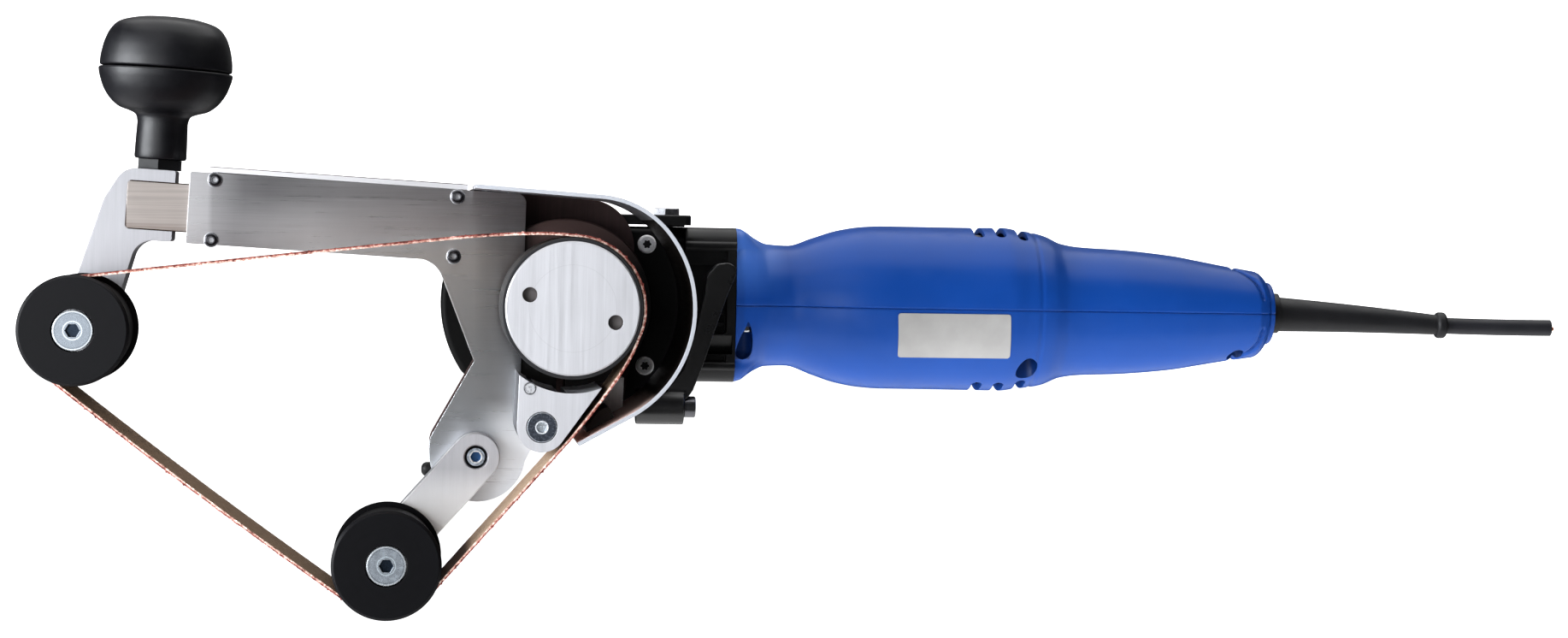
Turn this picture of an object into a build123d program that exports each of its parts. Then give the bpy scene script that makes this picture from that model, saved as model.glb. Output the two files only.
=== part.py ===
from build123d import *
import math
import os

os.makedirs("parts", exist_ok=True)

# ------------------------------------------------------------------ driving dimensions, mm
# +X along the motor axis towards the cord, +Z up, -Y the belt side.
# Origin: middle of the hand grip, on the motor axis.

spindle_x = -98.6                 # spindle axis, parallel to Y, crosses the motor axis
front_axle = (-294.9, -12.0)      # front roller axis (x, z)
lower_axle = (-170.95, -103.7)    # lower roller axis (x, z)
arm_pivot = (-135.3, -63.2)       # lower arm pivot (x, z)

# layers along Y, from the gear head towards the belt side
flange_y = -38.0                  # gear housing flange face
disc_front = -46.0                # adapter disc front face
back_front = -48.5                # back plate front face
box_front = -69.0                 # front of the box that holds the slide bar
cover_front = -71.5               # cover plate front face
arm_back, arm_front = -72.2, -82.2    # lower arm
roller_rear, roller_front = -83.0, -129.0
belt_front, belt_width = -126.0, 40.0
drum_front, drum_rear = -128.5, -85.0

# box and slide bar, tilted to the motor axis
bar_tilt = 2.8                    # degrees, falls towards the motor
bar_x, bar_z = -245.0, 36.65      # a point on the bar's axis
bar_size = 20.0
box_half = 14.4
slide_travel = 4.5

# rollers, drum, belt
tread_r, flange_r, flange_t = 20.0, 22.0, 2.7
drum_r, tyre_t = 28.5, 1.5
belt_gap, belt_t = 0.25, 1.0
spanner_pcd, spanner_r, spanner_angle = 36.0, 3.0, -17.0

# bevel pair
gear_module, gear_teeth, pinion_teeth, face_width = 1.5, 36, 12, 8.0

# guard
guard_r, guard_t = 50.0, 1.6
guard_front, guard_rear = -126.0, -49.0

# supply cord
cord_r = 3.65
cord_route = [(302.1, 0.0, -4.3), (327.5, 0.0, -4.75), (351.0, 0.0, -4.5)]

# bolt through the top bracket
bolt_x, bolt_y = -52.5, -6.0

# adapter disc: a circle with flats above and below
disc_r, disc_flat = 52.0, 32.6

# speed dial, turning about Z
dial_x, dial_y, dial_r = 172.0, 16.0, 11.0

# clamp lever's hub axis, parallel to X
lever_y, lever_z = -42.0, -43.4

# hand knob's axis along the bar
knob_u = -23.2

st, ct = math.sin(math.radians(bar_tilt)), math.cos(math.radians(bar_tilt))
S = (spindle_x, 0.0)


def face_at(y):
    """Plane facing the belt side at depth y; its local axes are X and Z."""
    return Plane.XZ.offset(-y)


def bar_plane(y):
    """The same, tilted with the slide bar and centred on its axis."""
    return Plane(origin=(bar_x, y, bar_z), x_dir=(ct, 0, -st), z_dir=(0, -1, 0))


def uw(u, w):
    """Point of the tilted frame as (x, z)."""
    return (bar_x + u * ct + w * st, bar_z - u * st + w * ct)


def facing(x, y, z):
    """Plane at a point with its normal towards the belt side."""
    return Plane(origin=(x, y, z), x_dir=(1, 0, 0), z_dir=(0, -1, 0))


def polar(c, r, deg):
    return (c[0] + r * math.cos(math.radians(deg)), c[1] + r * math.sin(math.radians(deg)))


def button_screw(head_r, head_h, shank_r, length, socket):
    """Button-head screw, head up, seat at z = 0."""
    with BuildPart() as b:
        with BuildSketch(Plane.XZ):
            with BuildLine():
                Polyline((0, -length), (shank_r, -length), (shank_r, 0), (head_r, 0), (head_r, 0.35 * head_h))
                ThreePointArc((head_r, 0.35 * head_h), (0.83 * head_r, 0.78 * head_h), (0.45 * head_r, head_h))
                Polyline((0.45 * head_r, head_h), (0, head_h), (0, -length))
            make_face()
        revolve(axis=Axis.Z)
        with BuildSketch(Plane.XY.offset(head_h)):
            RegularPolygon(socket, 6)
        extrude(amount=-0.6 * head_h, mode=Mode.SUBTRACT)
    return b.part


def csk_screw(head_r, shank_r, length, socket):
    """Countersunk screw, head face at z = 0."""
    cone = head_r - shank_r
    with BuildPart() as b:
        with BuildSketch(Plane.XZ):
            with BuildLine():
                Polyline(
                    (0, 0), (head_r - 0.25, 0), (head_r, -0.25), (head_r, -0.55),
                    (shank_r, -0.55 - cone), (shank_r, -length + 0.6), (shank_r - 0.6, -length), (0, -length), (0, 0),
                )
            make_face()
        revolve(axis=Axis.Z)
        with BuildSketch(Plane.XY):
            RegularPolygon(socket, 6)
        extrude(amount=-0.55 * cone - 0.8, mode=Mode.SUBTRACT)
    return b.part


def cap_screw(head_r, head_h, shank_r, length, socket):
    """Socket cap screw, head up, seat at z = 0."""
    with BuildPart() as b:
        with BuildSketch(Plane.XZ):
            with BuildLine():
                Polyline(
                    (0, -length), (shank_r, -length), (shank_r, 0), (head_r, 0),
                    (head_r, head_h - 0.4), (head_r - 0.4, head_h), (0, head_h), (0, -length),
                )
            make_face()
        revolve(axis=Axis.Z)
        with BuildSketch(Plane.XY.offset(head_h)):
            RegularPolygon(socket, 6)
        extrude(amount=-0.55 * head_h, mode=Mode.SUBTRACT)
    return b.part


def star_pan_screw(head_r, head_h, shank_r, length):
    """Pan-head screw with a six-lobe socket, head up, seat at z = 0."""
    with BuildPart() as b:
        with BuildSketch(Plane.XZ):
            with BuildLine():
                Polyline((0, -length), (shank_r, -length), (shank_r, 0), (head_r, 0), (head_r, 0.5 * head_h))
                ThreePointArc((head_r, 0.5 * head_h), (0.9 * head_r, 0.85 * head_h), (0.7 * head_r, head_h))
                Polyline((0.7 * head_r, head_h), (0, head_h), (0, -length))
            make_face()
        revolve(axis=Axis.Z)
        with BuildSketch(Plane.XY.offset(head_h)):
            Circle(0.36 * head_r)
            with PolarLocations(0.36 * head_r, 6):
                Circle(0.11 * head_r)
        extrude(amount=-0.6 * head_h, mode=Mode.SUBTRACT)
    return b.part


# ------------------------------------------------------------------ motor housing, two half shells

skin = [(-23.5, 33.4), (-17.0, 31.2), (-10.0, 27.9), (1.4, 26.5), (12.7, 30.1), (24.0, 33.7), (35.0, 35.5), (44.0, 36.0)]
tail = [(97.0, 36.0), (104.7, 34.6), (116.0, 33.0), (124.0, 29.4), (132.0, 28.1), (151.5, 27.2),
        (174.9, 25.0), (186.7, 23.0), (198.5, 20.9), (210.4, 19.0), (217.5, 17.5)]
wall = 3.0
lobe_y, lobe_z, lobe_r = 19.0, 26.0, 8.5          # corner lobes that take the gear head screws
# shell screws, driven upwards: place, counterbore radius, height of the head's seat
shell_screws_at = [((-19.0, 25.7), 3.9, -9.0), ((-19.0, -25.7), 3.9, -9.0), ((106.7, 23.2), 4.2, -16.0), ((106.7, -23.2), 4.2, -16.0),
                   ((203.0, 9.0), 3.9, -13.0), ((203.0, -9.0), 3.9, -13.0)]

with BuildPart() as housing:
    with BuildSketch(Plane.XZ):
        with BuildLine():
            Spline(*skin, tangents=[(1, -0.5), (1, 0)])
            Line(skin[-1], tail[0])
            Spline(*tail, tangents=[(1, 0), (1, -0.25)])
            Polyline(tail[-1], (217.5, 13.7), (223.0, 13.7), (223.5, 13.2), (223.5, 9.0), (214.0, 9.0), (214.0, 15.0))
            Polyline((214.0, 15.0), (210.4, 16.0), (198.5, 17.9), (186.7, 20.0), (174.9, 22.0), (151.5, 24.2), (132.0, 25.1),
                     (124.0, 26.4), (116.0, 30.0), (104.7, 31.6), (97.0, 33.0), (44.0, 33.0), (35.0, 32.5), (24.0, 30.7),
                     (12.7, 27.1), (1.4, 23.5), (-23.5, 23.5), skin[0])
        make_face()
    revolve(axis=Axis.X)
    with BuildSketch(Plane.YZ.offset(-23.5)):
        with GridLocations(2 * lobe_y, 2 * lobe_z, 2, 2):
            Circle(lobe_r)
    extrude(amount=11.5)
    with BuildSketch(Plane.YZ.offset(-23.5)):
        Circle(23.5)
    extrude(amount=14.0, mode=Mode.SUBTRACT)
    with BuildSketch(Plane.YZ.offset(-23.5)):
        with GridLocations(2 * lobe_y, 2 * lobe_z, 2, 2):
            Circle(2.52)
    extrude(amount=9.5, mode=Mode.SUBTRACT)
    # screw pillars
    for place, counterbore, seat in shell_screws_at[2:]:
        with BuildSketch(Plane.XY.offset(seat - 4.0)):
            with Locations(place):
                Circle(4.2)
        extrude(amount=2 * (4.0 - seat))
    for place, counterbore, seat in shell_screws_at:
        with BuildSketch(Plane.XY.offset(-40.0)):
            with Locations(place):
                Circle(2.05)
        extrude(amount=53.0, mode=Mode.SUBTRACT)
        with BuildSketch(Plane.XY.offset(-40.0)):
            with Locations(place):
                Circle(counterbore)
        extrude(amount=40.0 + seat, mode=Mode.SUBTRACT)
    # rear bearing's seat, half in each shell
    with BuildSketch(Plane.YZ.offset(107.0)):
        Circle(30.5)
        Rectangle(27.0, 70.0, mode=Mode.INTERSECT)
        Circle(7.0, mode=Mode.SUBTRACT)
    extrude(amount=9.6)
    with BuildSketch(Plane.YZ.offset(108.3)):
        Circle(11.05)
    extrude(amount=8.3, mode=Mode.SUBTRACT)
    # air slots, top and bottom
    with BuildSketch(Plane.XY.offset(-40.0)):
        with Locations((86.0, 0.0), (94.5, 0.0), (103.0, 0.0)):
            SlotOverall(26.0, 4.0, rotation=90)
    extrude(amount=80.0, mode=Mode.SUBTRACT)
    # windows for the switch slider and the speed dial on the far side
    with BuildSketch(Plane.XZ):
        with Locations((146.5, 0.0)):
            Rectangle(23.0, 10.6)
        with Locations((172.0, 0.0)):
            Rectangle(23.0, 6.2)
    extrude(amount=-40.0, mode=Mode.SUBTRACT)

with BuildPart() as housing_upper_shell:
    add(housing.part)
    split(bisect_by=Plane.XY, keep=Keep.TOP)
housing_upper_shell.part.label = "housing_upper_shell"
export_step(housing_upper_shell.part, "parts/housing_upper_shell.step")

with BuildPart() as housing_lower_shell:
    add(housing.part)
    split(bisect_by=Plane.XY, keep=Keep.BOTTOM)
housing_lower_shell.part.label = "housing_lower_shell"
export_step(housing_lower_shell.part, "parts/housing_lower_shell.step")

shell_screw = star_pan_screw(3.5, 2.6, 2.0, 20.0)
with BuildPart() as housing_screws:
    with Locations(*[Plane(origin=(x, y, seat), x_dir=(1, 0, 0), z_dir=(0, 0, -1)).location for (x, y), counterbore, seat in shell_screws_at]):
        add(shell_screw)
housing_screws.part.label = "housing_screws"
export_step(housing_screws.part, "parts/housing_screws.step")

with BuildPart() as rating_plate:
    with BuildSketch(Plane.YZ.offset(46.5)):
        Circle(36.33)
        Circle(36.04, mode=Mode.SUBTRACT)
    extrude(amount=51.0)
    with BuildSketch(face_at(0.0)):
        with BuildLine():
            FilletPolyline((46.5, -1.9), (96.0, -1.7), (97.1, -21.1), (47.6, -21.3), radius=1.3, close=True)
        make_face()
    extrude(amount=40.0, mode=Mode.INTERSECT)
rating_plate.part.label = "rating_plate"
export_step(rating_plate.part, "parts/rating_plate.step")

# ------------------------------------------------------------------ strain relief and cord stub

with BuildPart() as strain_relief:
    with BuildSketch(Plane.YZ.offset(208.8)):
        Circle(12.0)
    extrude(amount=5.0)
    with BuildSketch(Plane.YZ.offset(213.8)):
        Circle(8.9)
    extrude(amount=10.0)
    with BuildSketch(Plane.YZ.offset(223.8)):
        with Locations((0, -0.4)):
            Circle(7.7)
    with BuildSketch(Plane.YZ.offset(262.0)):
        with Locations((0, -1.9)):
            Circle(6.1)
    with BuildSketch(Plane.YZ.offset(297.6)):
        with Locations((0, -3.9)):
            Circle(4.5)
    loft()
    with BuildSketch(Plane.YZ.offset(297.4)):
        with Locations((0, -4.1)):
            Circle(5.9)
    extrude(amount=4.6)
    fillet(strain_relief.edges().filter_by(GeomType.CIRCLE).sort_by(Axis.X)[-2:], 1.6)
strain_relief.part.label = "strain_relief"
export_step(strain_relief.part, "parts/strain_relief.step")

turns = []
for a, b, c in zip(cord_route, cord_route[1:], cord_route[2:]):
    v1, v2 = Vector(*b) - Vector(*a), Vector(*c) - Vector(*b)
    turns.append(0.45 * min(v1.length, v2.length) / math.tan(math.radians(v1.get_angle(v2)) / 2))
print("cord bend radii", [round(r, 1) for r in turns])
with BuildPart() as supply_cord:
    with BuildLine() as cord_line:
        FilletPolyline(*cord_route, radius=turns)
    with BuildSketch(Plane(origin=cord_route[0], z_dir=cord_line.line % 0)):
        Circle(cord_r)
    sweep()
cord_length = sum(e.length for e in cord_line.edges())
print("cord volume", round(supply_cord.part.volume, 1), "section x length", round(math.pi * cord_r ** 2 * cord_length, 1))
supply_cord.part.label = "supply_cord"
export_step(supply_cord.part, "parts/supply_cord.step")

end_dir = cord_line.line % 1
with BuildPart() as cord_conductors:
    with BuildSketch(Plane(origin=cord_route[-1], x_dir=(0, 1, 0), z_dir=end_dir)):
        with Locations((1.35, 0.4), (-1.35, -0.4)):
            Circle(0.8)
    extrude(amount=1.2)
cord_conductors.part.label = "cord_conductors"
export_step(cord_conductors.part, "parts/cord_conductors.step")

# ------------------------------------------------------------------ motor

with BuildPart() as stator_core:
    with BuildSketch(Plane.YZ.offset(42.0)):
        Circle(32.5)
        Circle(19.0, mode=Mode.SUBTRACT)
        with Locations((23.0, 0), (-23.0, 0)):
            SlotOverall(26.0, 7.0, rotation=90, mode=Mode.SUBTRACT)
    extrude(amount=46.0)
    # field coil heads
    for x in (34.6, 88.0):
        with BuildSketch(Plane.YZ.offset(x)):
            Ellipse(28.5, 27.0)
            Circle(20.0, mode=Mode.SUBTRACT)
        extrude(amount=7.4)
stator_core.part.label = "stator_core"
export_step(stator_core.part, "parts/stator_core.step")

shaft_r = 5.0
with BuildPart() as armature_shaft:
    with BuildSketch(Plane.XZ):
        with BuildLine():
            Polyline((-78.0, 0), (-78.0, 3.5), (-57.2, 3.5), (-57.2, shaft_r), (117.0, shaft_r), (118.0, shaft_r - 1), (118.0, 0), (-78.0, 0))
        make_face()
    revolve(axis=Axis.X)
armature_shaft.part.label = "armature_shaft"
export_step(armature_shaft.part, "parts/armature_shaft.step")

with BuildPart() as armature_core:
    with BuildSketch(Plane.YZ.offset(42.0)):
        Circle(18.4)
        Circle(shaft_r + 0.02, mode=Mode.SUBTRACT)
        with PolarLocations(17.6, 12):
            SlotOverall(4.0, 1.6, mode=Mode.SUBTRACT)
    extrude(amount=46.0)
    # winding heads
    for x, length in ((36.0, 6.0), (88.0, 5.2)):
        with BuildSketch(Plane.YZ.offset(x)):
            Circle(15.0)
            Circle(shaft_r + 0.3, mode=Mode.SUBTRACT)
        extrude(amount=length)
armature_core.part.label = "armature_core"
export_step(armature_core.part, "parts/armature_core.step")

with BuildPart() as commutator:
    with BuildSketch(Plane.YZ.offset(93.6)):
        Circle(12.0)
        Circle(shaft_r + 0.02, mode=Mode.SUBTRACT)
        with PolarLocations(11.6, 24):
            Rectangle(1.6, 0.5, mode=Mode.SUBTRACT)
    extrude(amount=11.5)
commutator.part.label = "commutator"
export_step(commutator.part, "parts/commutator.step")

with BuildPart() as carbon_brushes:
    with BuildSketch(Plane.YZ.offset(95.6)):
        with Locations((18.2, 0), (-18.2, 0)):
            Rectangle(11.8, 6.3)
    extrude(amount=6.3)
carbon_brushes.part.label = "carbon_brushes"
export_step(carbon_brushes.part, "parts/carbon_brushes.step")

with BuildPart() as cooling_fan:
    with BuildSketch(Plane.YZ.offset(24.0)):
        Circle(27.0)
        Circle(shaft_r + 0.02, mode=Mode.SUBTRACT)
    extrude(amount=1.6)
    with BuildSketch(Plane.YZ.offset(22.0)):
        Circle(9.0)
        Circle(shaft_r + 0.02, mode=Mode.SUBTRACT)
    extrude(amount=9.0)
    with BuildSketch(Plane.YZ.offset(25.6)):
        with PolarLocations(17.6, 12):
            Rectangle(17.6, 1.4)
    extrude(amount=5.8)
cooling_fan.part.label = "cooling_fan"
export_step(cooling_fan.part, "parts/cooling_fan.step")


def ball_bearing(bore_r, outer_r, width):
    """Ring with recessed seals on both faces, from z = 0 up."""
    mid = (bore_r + outer_r) / 2
    third = (outer_r - bore_r) / 6
    with BuildPart() as b:
        with BuildSketch(Plane.XY):
            Circle(outer_r)
            Circle(bore_r, mode=Mode.SUBTRACT)
        extrude(amount=width)
        for z, d in ((0.0, 0.5), (width, -0.5)):
            with BuildSketch(Plane.XY.offset(z)):
                Circle(mid + third)
                Circle(mid - third, mode=Mode.SUBTRACT)
            extrude(amount=d, mode=Mode.SUBTRACT)
    return b.part


motor_bearing_front = ball_bearing(shaft_r + 0.05, 13.0, 10.0)
motor_bearing_rear = ball_bearing(shaft_r + 0.05, 11.0, 7.0)
with BuildPart() as motor_bearings:
    with Locations(Plane.YZ.offset(-56.0).location):
        add(motor_bearing_front)
    with Locations(Plane.YZ.offset(108.5).location):
        add(motor_bearing_rear)
motor_bearings.part.label = "motor_bearings"
export_step(motor_bearings.part, "parts/motor_bearings.step")

with BuildPart() as electronics_module:
    with Locations((139.5, 0.0, -8.0)):
        Box(34.0, 28.0, 12.0)
    fillet(electronics_module.edges().filter_by(Axis.Z), 2.0)
    # tongue with the post that the dial turns on
    with Locations((163.0, 14.0, -4.2)):
        Box(26.0, 8.0, 2.0)
    with BuildSketch(Plane.XY.offset(-3.2)):
        with Locations((dial_x, dial_y)):
            Circle(1.5)
    extrude(amount=6.6)
electronics_module.part.label = "electronics_module"
export_step(electronics_module.part, "parts/electronics_module.step")

with BuildPart() as switch_slider:
    with BuildSketch(Plane.XZ.offset(-20.2)):
        with Locations((142.0, 0.0)):
            Rectangle(24.0, 12.6)
    extrude(amount=-1.4)
    with BuildSketch(Plane.XZ.offset(-21.6)):
        with Locations((143.0, 0.0)):
            RectangleRounded(15.0, 9.6, 2.0)
    extrude(amount=-8.4)
    with BuildSketch(Plane.XZ.offset(-30.0)):
        with Locations((139.0, 0.0), (141.7, 0.0), (144.4, 0.0), (147.1, 0.0)):
            Rectangle(1.2, 9.0)
    extrude(amount=0.8, mode=Mode.SUBTRACT)
switch_slider.part.label = "switch_slider"
export_step(switch_slider.part, "parts/switch_slider.step")

with BuildPart() as speed_dial:
    with BuildSketch(Plane.XY.offset(-2.7)):
        with Locations((dial_x, dial_y)):
            Circle(dial_r)
            with PolarLocations(dial_r, 36):
                Circle(0.35, mode=Mode.SUBTRACT)
            Circle(1.56, mode=Mode.SUBTRACT)
    extrude(amount=5.4)
speed_dial.part.label = "speed_dial"
export_step(speed_dial.part, "parts/speed_dial.step")

# ------------------------------------------------------------------ angle head

with BuildPart() as gear_housing:
    # block towards the motor
    with BuildSketch(Plane.YZ.offset(-98.6)):
        RectangleRounded(48.0, 66.8, 8.0)
    extrude(amount=75.0)
    with BuildSketch(Plane.YZ.offset(-46.0)):
        RectangleRounded(62.0, 66.8, 9.0)
    extrude(amount=22.4)
    # round body about the spindle
    with BuildSketch(face_at(31.0)):
        with Locations(S):
            Circle(38.0)
    extrude(amount=60.0)
    with BuildSketch(face_at(-29.0)):
        with Locations(S):
            Circle(50.0)
            Rectangle(104.0, 2 * disc_flat, mode=Mode.INTERSECT)
    extrude(amount=-flange_y - 29.0)
    with BuildSketch(face_at(flange_y)):
        with Locations(S):
            Circle(24.0)
    extrude(amount=30.0)
    # stepped near side between the block's upper and lower rails
    with BuildSketch(face_at(-32.0)):
        with Locations((-37.0, 2.5)):
            RectangleRounded(19.0, 30.0, 2.0)
    extrude(amount=-7.0, mode=Mode.SUBTRACT)
    with BuildSketch(face_at(-32.0)):
        with Locations((-37.0, 20.5)):
            Rectangle(19.0, 6.0)
    extrude(amount=-3.2, mode=Mode.SUBTRACT)
    with BuildSketch(face_at(-32.0)):
        with Locations((-37.0, -23.0)):
            Rectangle(19.0, 3.4)
    extrude(amount=-5.0, mode=Mode.SUBTRACT)
    with BuildSketch(face_at(-24.0)):
        with Locations((-31.0, 2.0), (-31.0, -3.2), (-31.0, -8.4)):
            Rectangle(5.0, 1.6)
    extrude(amount=5.0)
    with BuildSketch(Plane.YZ.offset(-46.0)):
        with Locations((-30.0, 25.6), (-30.0, -26.2)):
            Circle(1.9)
    extrude(amount=22.4)
    with BuildSketch(Plane.YZ.offset(-45.0)):
        with BuildLine():
            Polyline((-31.2, -12.6), (-31.2, -21.2), (-26.4, -21.2), close=True)
        make_face()
    extrude(amount=20.0, mode=Mode.SUBTRACT)
    # tab behind the lever's hub
    with BuildSketch(face_at(-29.0)):
        with Locations((-64.0, -36.5)):
            Rectangle(10.0, 9.0)
    extrude(amount=4.8)
    # gear chamber, bearing seats, pinion bore
    with BuildSketch(face_at(12.0)):
        with Locations(S):
            Circle(30.5)
    extrude(amount=38.0, mode=Mode.SUBTRACT)
    with BuildSketch(face_at(21.0)):
        with Locations(S):
            Circle(14.02)
    extrude(amount=10.0, mode=Mode.SUBTRACT)
    with BuildSketch(face_at(-25.0)):
        with Locations(S):
            Circle(20.02)
    extrude(amount=39.0, mode=Mode.SUBTRACT)
    with BuildSketch(face_at(-60.0)):
        with Locations(S):
            Circle(9.5)
    extrude(amount=10.0, mode=Mode.SUBTRACT)
    with BuildSketch(Plane.YZ.offset(-92.0)):
        Circle(11.6)
    extrude(amount=36.0, mode=Mode.SUBTRACT)
    with BuildSketch(Plane.YZ.offset(-56.1)):
        Circle(13.02)
    extrude(amount=13.0, mode=Mode.SUBTRACT)
    with BuildSketch(Plane.YZ.offset(-44.0)):
        Circle(18.0)
    extrude(amount=30.0, mode=Mode.SUBTRACT)
    # motor screws and room for their heads, top bolt
    with BuildSketch(Plane.YZ.offset(-50.0)):
        with GridLocations(2 * lobe_y, 2 * lobe_z, 2, 2):
            Circle(2.52)
    extrude(amount=30.0, mode=Mode.SUBTRACT)
    with BuildSketch(Plane.YZ.offset(-60.0)):
        with GridLocations(2 * lobe_y, 2 * lobe_z, 2, 2):
            Circle(4.9)
    extrude(amount=14.0, mode=Mode.SUBTRACT)
    with BuildSketch(Plane.XY.offset(22.5)):
        with Locations((bolt_x, bolt_y)):
            Circle(3.03)
    extrude(amount=20.0, mode=Mode.SUBTRACT)
    with BuildSketch(face_at(-29.0)):
        with Locations(polar(S, 43.4, 36.6), polar(S, 43.4, -36.6)):
            Circle(2.02)
    extrude(amount=20.0, mode=Mode.SUBTRACT)
gear_housing.part.label = "gear_housing"
export_step(gear_housing.part, "parts/gear_housing.step")

motor_screw = cap_screw(4.3, 4.6, 2.5, 28.5, 2.1)
with BuildPart() as gear_housing_screws:
    with Locations(*[Plane(origin=(-46.0, y, z), x_dir=(0, 1, 0), z_dir=(-1, 0, 0)).location
                     for y in (lobe_y, -lobe_y) for z in (lobe_z, -lobe_z)]):
        add(motor_screw)
gear_housing_screws.part.label = "gear_housing_screws"
export_step(gear_housing_screws.part, "parts/gear_housing_screws.step")

# bevel pair: pitch cones share their tip where the axes cross
pitch_g, pitch_p = gear_module * gear_teeth / 2, gear_module * pinion_teeth / 2
cone = math.hypot(pitch_g, pitch_p)
ex, ey = pitch_g / cone, -pitch_p / cone          # along the common pitch line
nx, ny = -ey, ex                                  # across it, towards the pinion axis
inner = (cone - face_width) / cone
pitch_arc = math.pi * gear_module
half_at_pitch, tip_h, root_h = 0.213 * pitch_arc, 0.85 * gear_module, 1.35 * gear_module
slope = math.tan(math.radians(20.0))


def tooth(sign):
    """One straight tooth on the pitch line; sign +1 points at the pinion axis, -1 away from it."""
    with BuildPart() as b:
        for k in (1.0, inner):
            plane = Plane(
                origin=(spindle_x + ex * cone * k, ey * cone * k, 0),
                x_dir=(0, 0, 1), z_dir=(ex * sign, ey * sign, 0),
            )
            up = plane.to_local_coords(Vector(spindle_x + ex * cone * k + nx, ey * cone * k + ny, 0)).Y * sign
            with BuildSketch(plane):
                with BuildLine():
                    Polyline(
                        (-(half_at_pitch + root_h * slope) * k, -root_h * k * up),
                        (-(half_at_pitch - tip_h * slope) * k, tip_h * k * up),
                        ((half_at_pitch - tip_h * slope) * k, tip_h * k * up),
                        ((half_at_pitch + root_h * slope) * k, -root_h * k * up),
                        close=True,
                    )
                make_face()
        loft()
    return b.part


spindle_axis = Plane(origin=(spindle_x, 0, 0), x_dir=(1, 0, 0), z_dir=(0, 1, 0))
gear_tooth, pinion_tooth = tooth(1), tooth(-1)
# the blanks run a little past both ends of the teeth
root_g = (pitch_g - 1.1 * gear_module * nx, -pitch_p - 1.1 * gear_module * ny)
root_out, root_in = (1.03 * root_g[0], 1.03 * root_g[1]), (0.95 * inner * root_g[0], 0.95 * inner * root_g[1])
with BuildPart() as bevel_gear:
    with BuildSketch(Plane.XY):
        with BuildLine():
            Polyline(
                (spindle_x + 8.03, -9.6), (spindle_x + 16.5, -9.6), (spindle_x + root_in[0], root_in[1]),
                (spindle_x + root_out[0], root_out[1]), (spindle_x + root_out[0], -14.0), (spindle_x + 13.0, -18.0),
                (spindle_x + 13.0, -22.5), (spindle_x + 8.03, -22.5), close=True,
            )
        make_face()
    revolve(axis=Axis((spindle_x, 0, 0), (0, 1, 0)))
    with Locations(*[Location((spindle_x, 0, 0), (0, 1, 0), (i + 0.5) * 360.0 / gear_teeth) * Location((-spindle_x, 0, 0))
                     for i in range(gear_teeth)]):
        add(gear_tooth)
bevel_gear.part.label = "bevel_gear"
export_step(bevel_gear.part, "parts/bevel_gear.step")

root_p = (pitch_g + 1.1 * gear_module * nx, pitch_p - 1.1 * gear_module * ny)
pr_out, pr_in = (1.03 * root_p[0], 1.03 * root_p[1]), (0.95 * inner * root_p[0], 0.95 * inner * root_p[1])
with BuildPart() as bevel_pinion:
    with BuildSketch(Plane.XZ):
        with BuildLine():
            Polyline(
                (spindle_x + pr_in[0] - 0.4, 3.53), (spindle_x + pr_in[0] - 0.4, pr_in[1]), (spindle_x + pr_in[0], pr_in[1]),
                (spindle_x + pr_out[0], pr_out[1]), (-57.3, pr_out[1]), (-57.3, 3.53), close=True,
            )
        make_face()
    revolve(axis=Axis.X)
    with Locations(*[Location((0, 0, 0), (1, 0, 0), i * 360.0 / pinion_teeth) for i in range(pinion_teeth)]):
        add(pinion_tooth)
bevel_pinion.part.label = "bevel_pinion"
export_step(bevel_pinion.part, "parts/bevel_pinion.step")

with BuildPart() as spindle:
    with BuildSketch(Plane.XY):
        with BuildLine():
            Polyline(
                (spindle_x, 20.0), (spindle_x + 7.0, 20.0), (spindle_x + 8.0, 19.0), (spindle_x + 8.0, -84.9),
                (spindle_x + 7.0, -84.9), (spindle_x + 7.0, -119.0), (spindle_x + 6.0, -120.0), (spindle_x, -120.0), close=True,
            )
        make_face()
    revolve(axis=Axis((spindle_x, 0, 0), (0, 1, 0)))
spindle.part.label = "spindle"
export_step(spindle.part, "parts/spindle.step")

spindle_bearing_rear = ball_bearing(8.05, 14.0, 8.0)
spindle_bearing_front = ball_bearing(8.05, 20.0, 14.0)
with BuildPart() as spindle_bearings:
    with Locations(facing(spindle_x, 20.5, 0).location):
        add(spindle_bearing_rear)
    with Locations(facing(spindle_x, -40.0, 0).location):
        add(spindle_bearing_front)
spindle_bearings.part.label = "spindle_bearings"
export_step(spindle_bearings.part, "parts/spindle_bearings.step")

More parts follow.
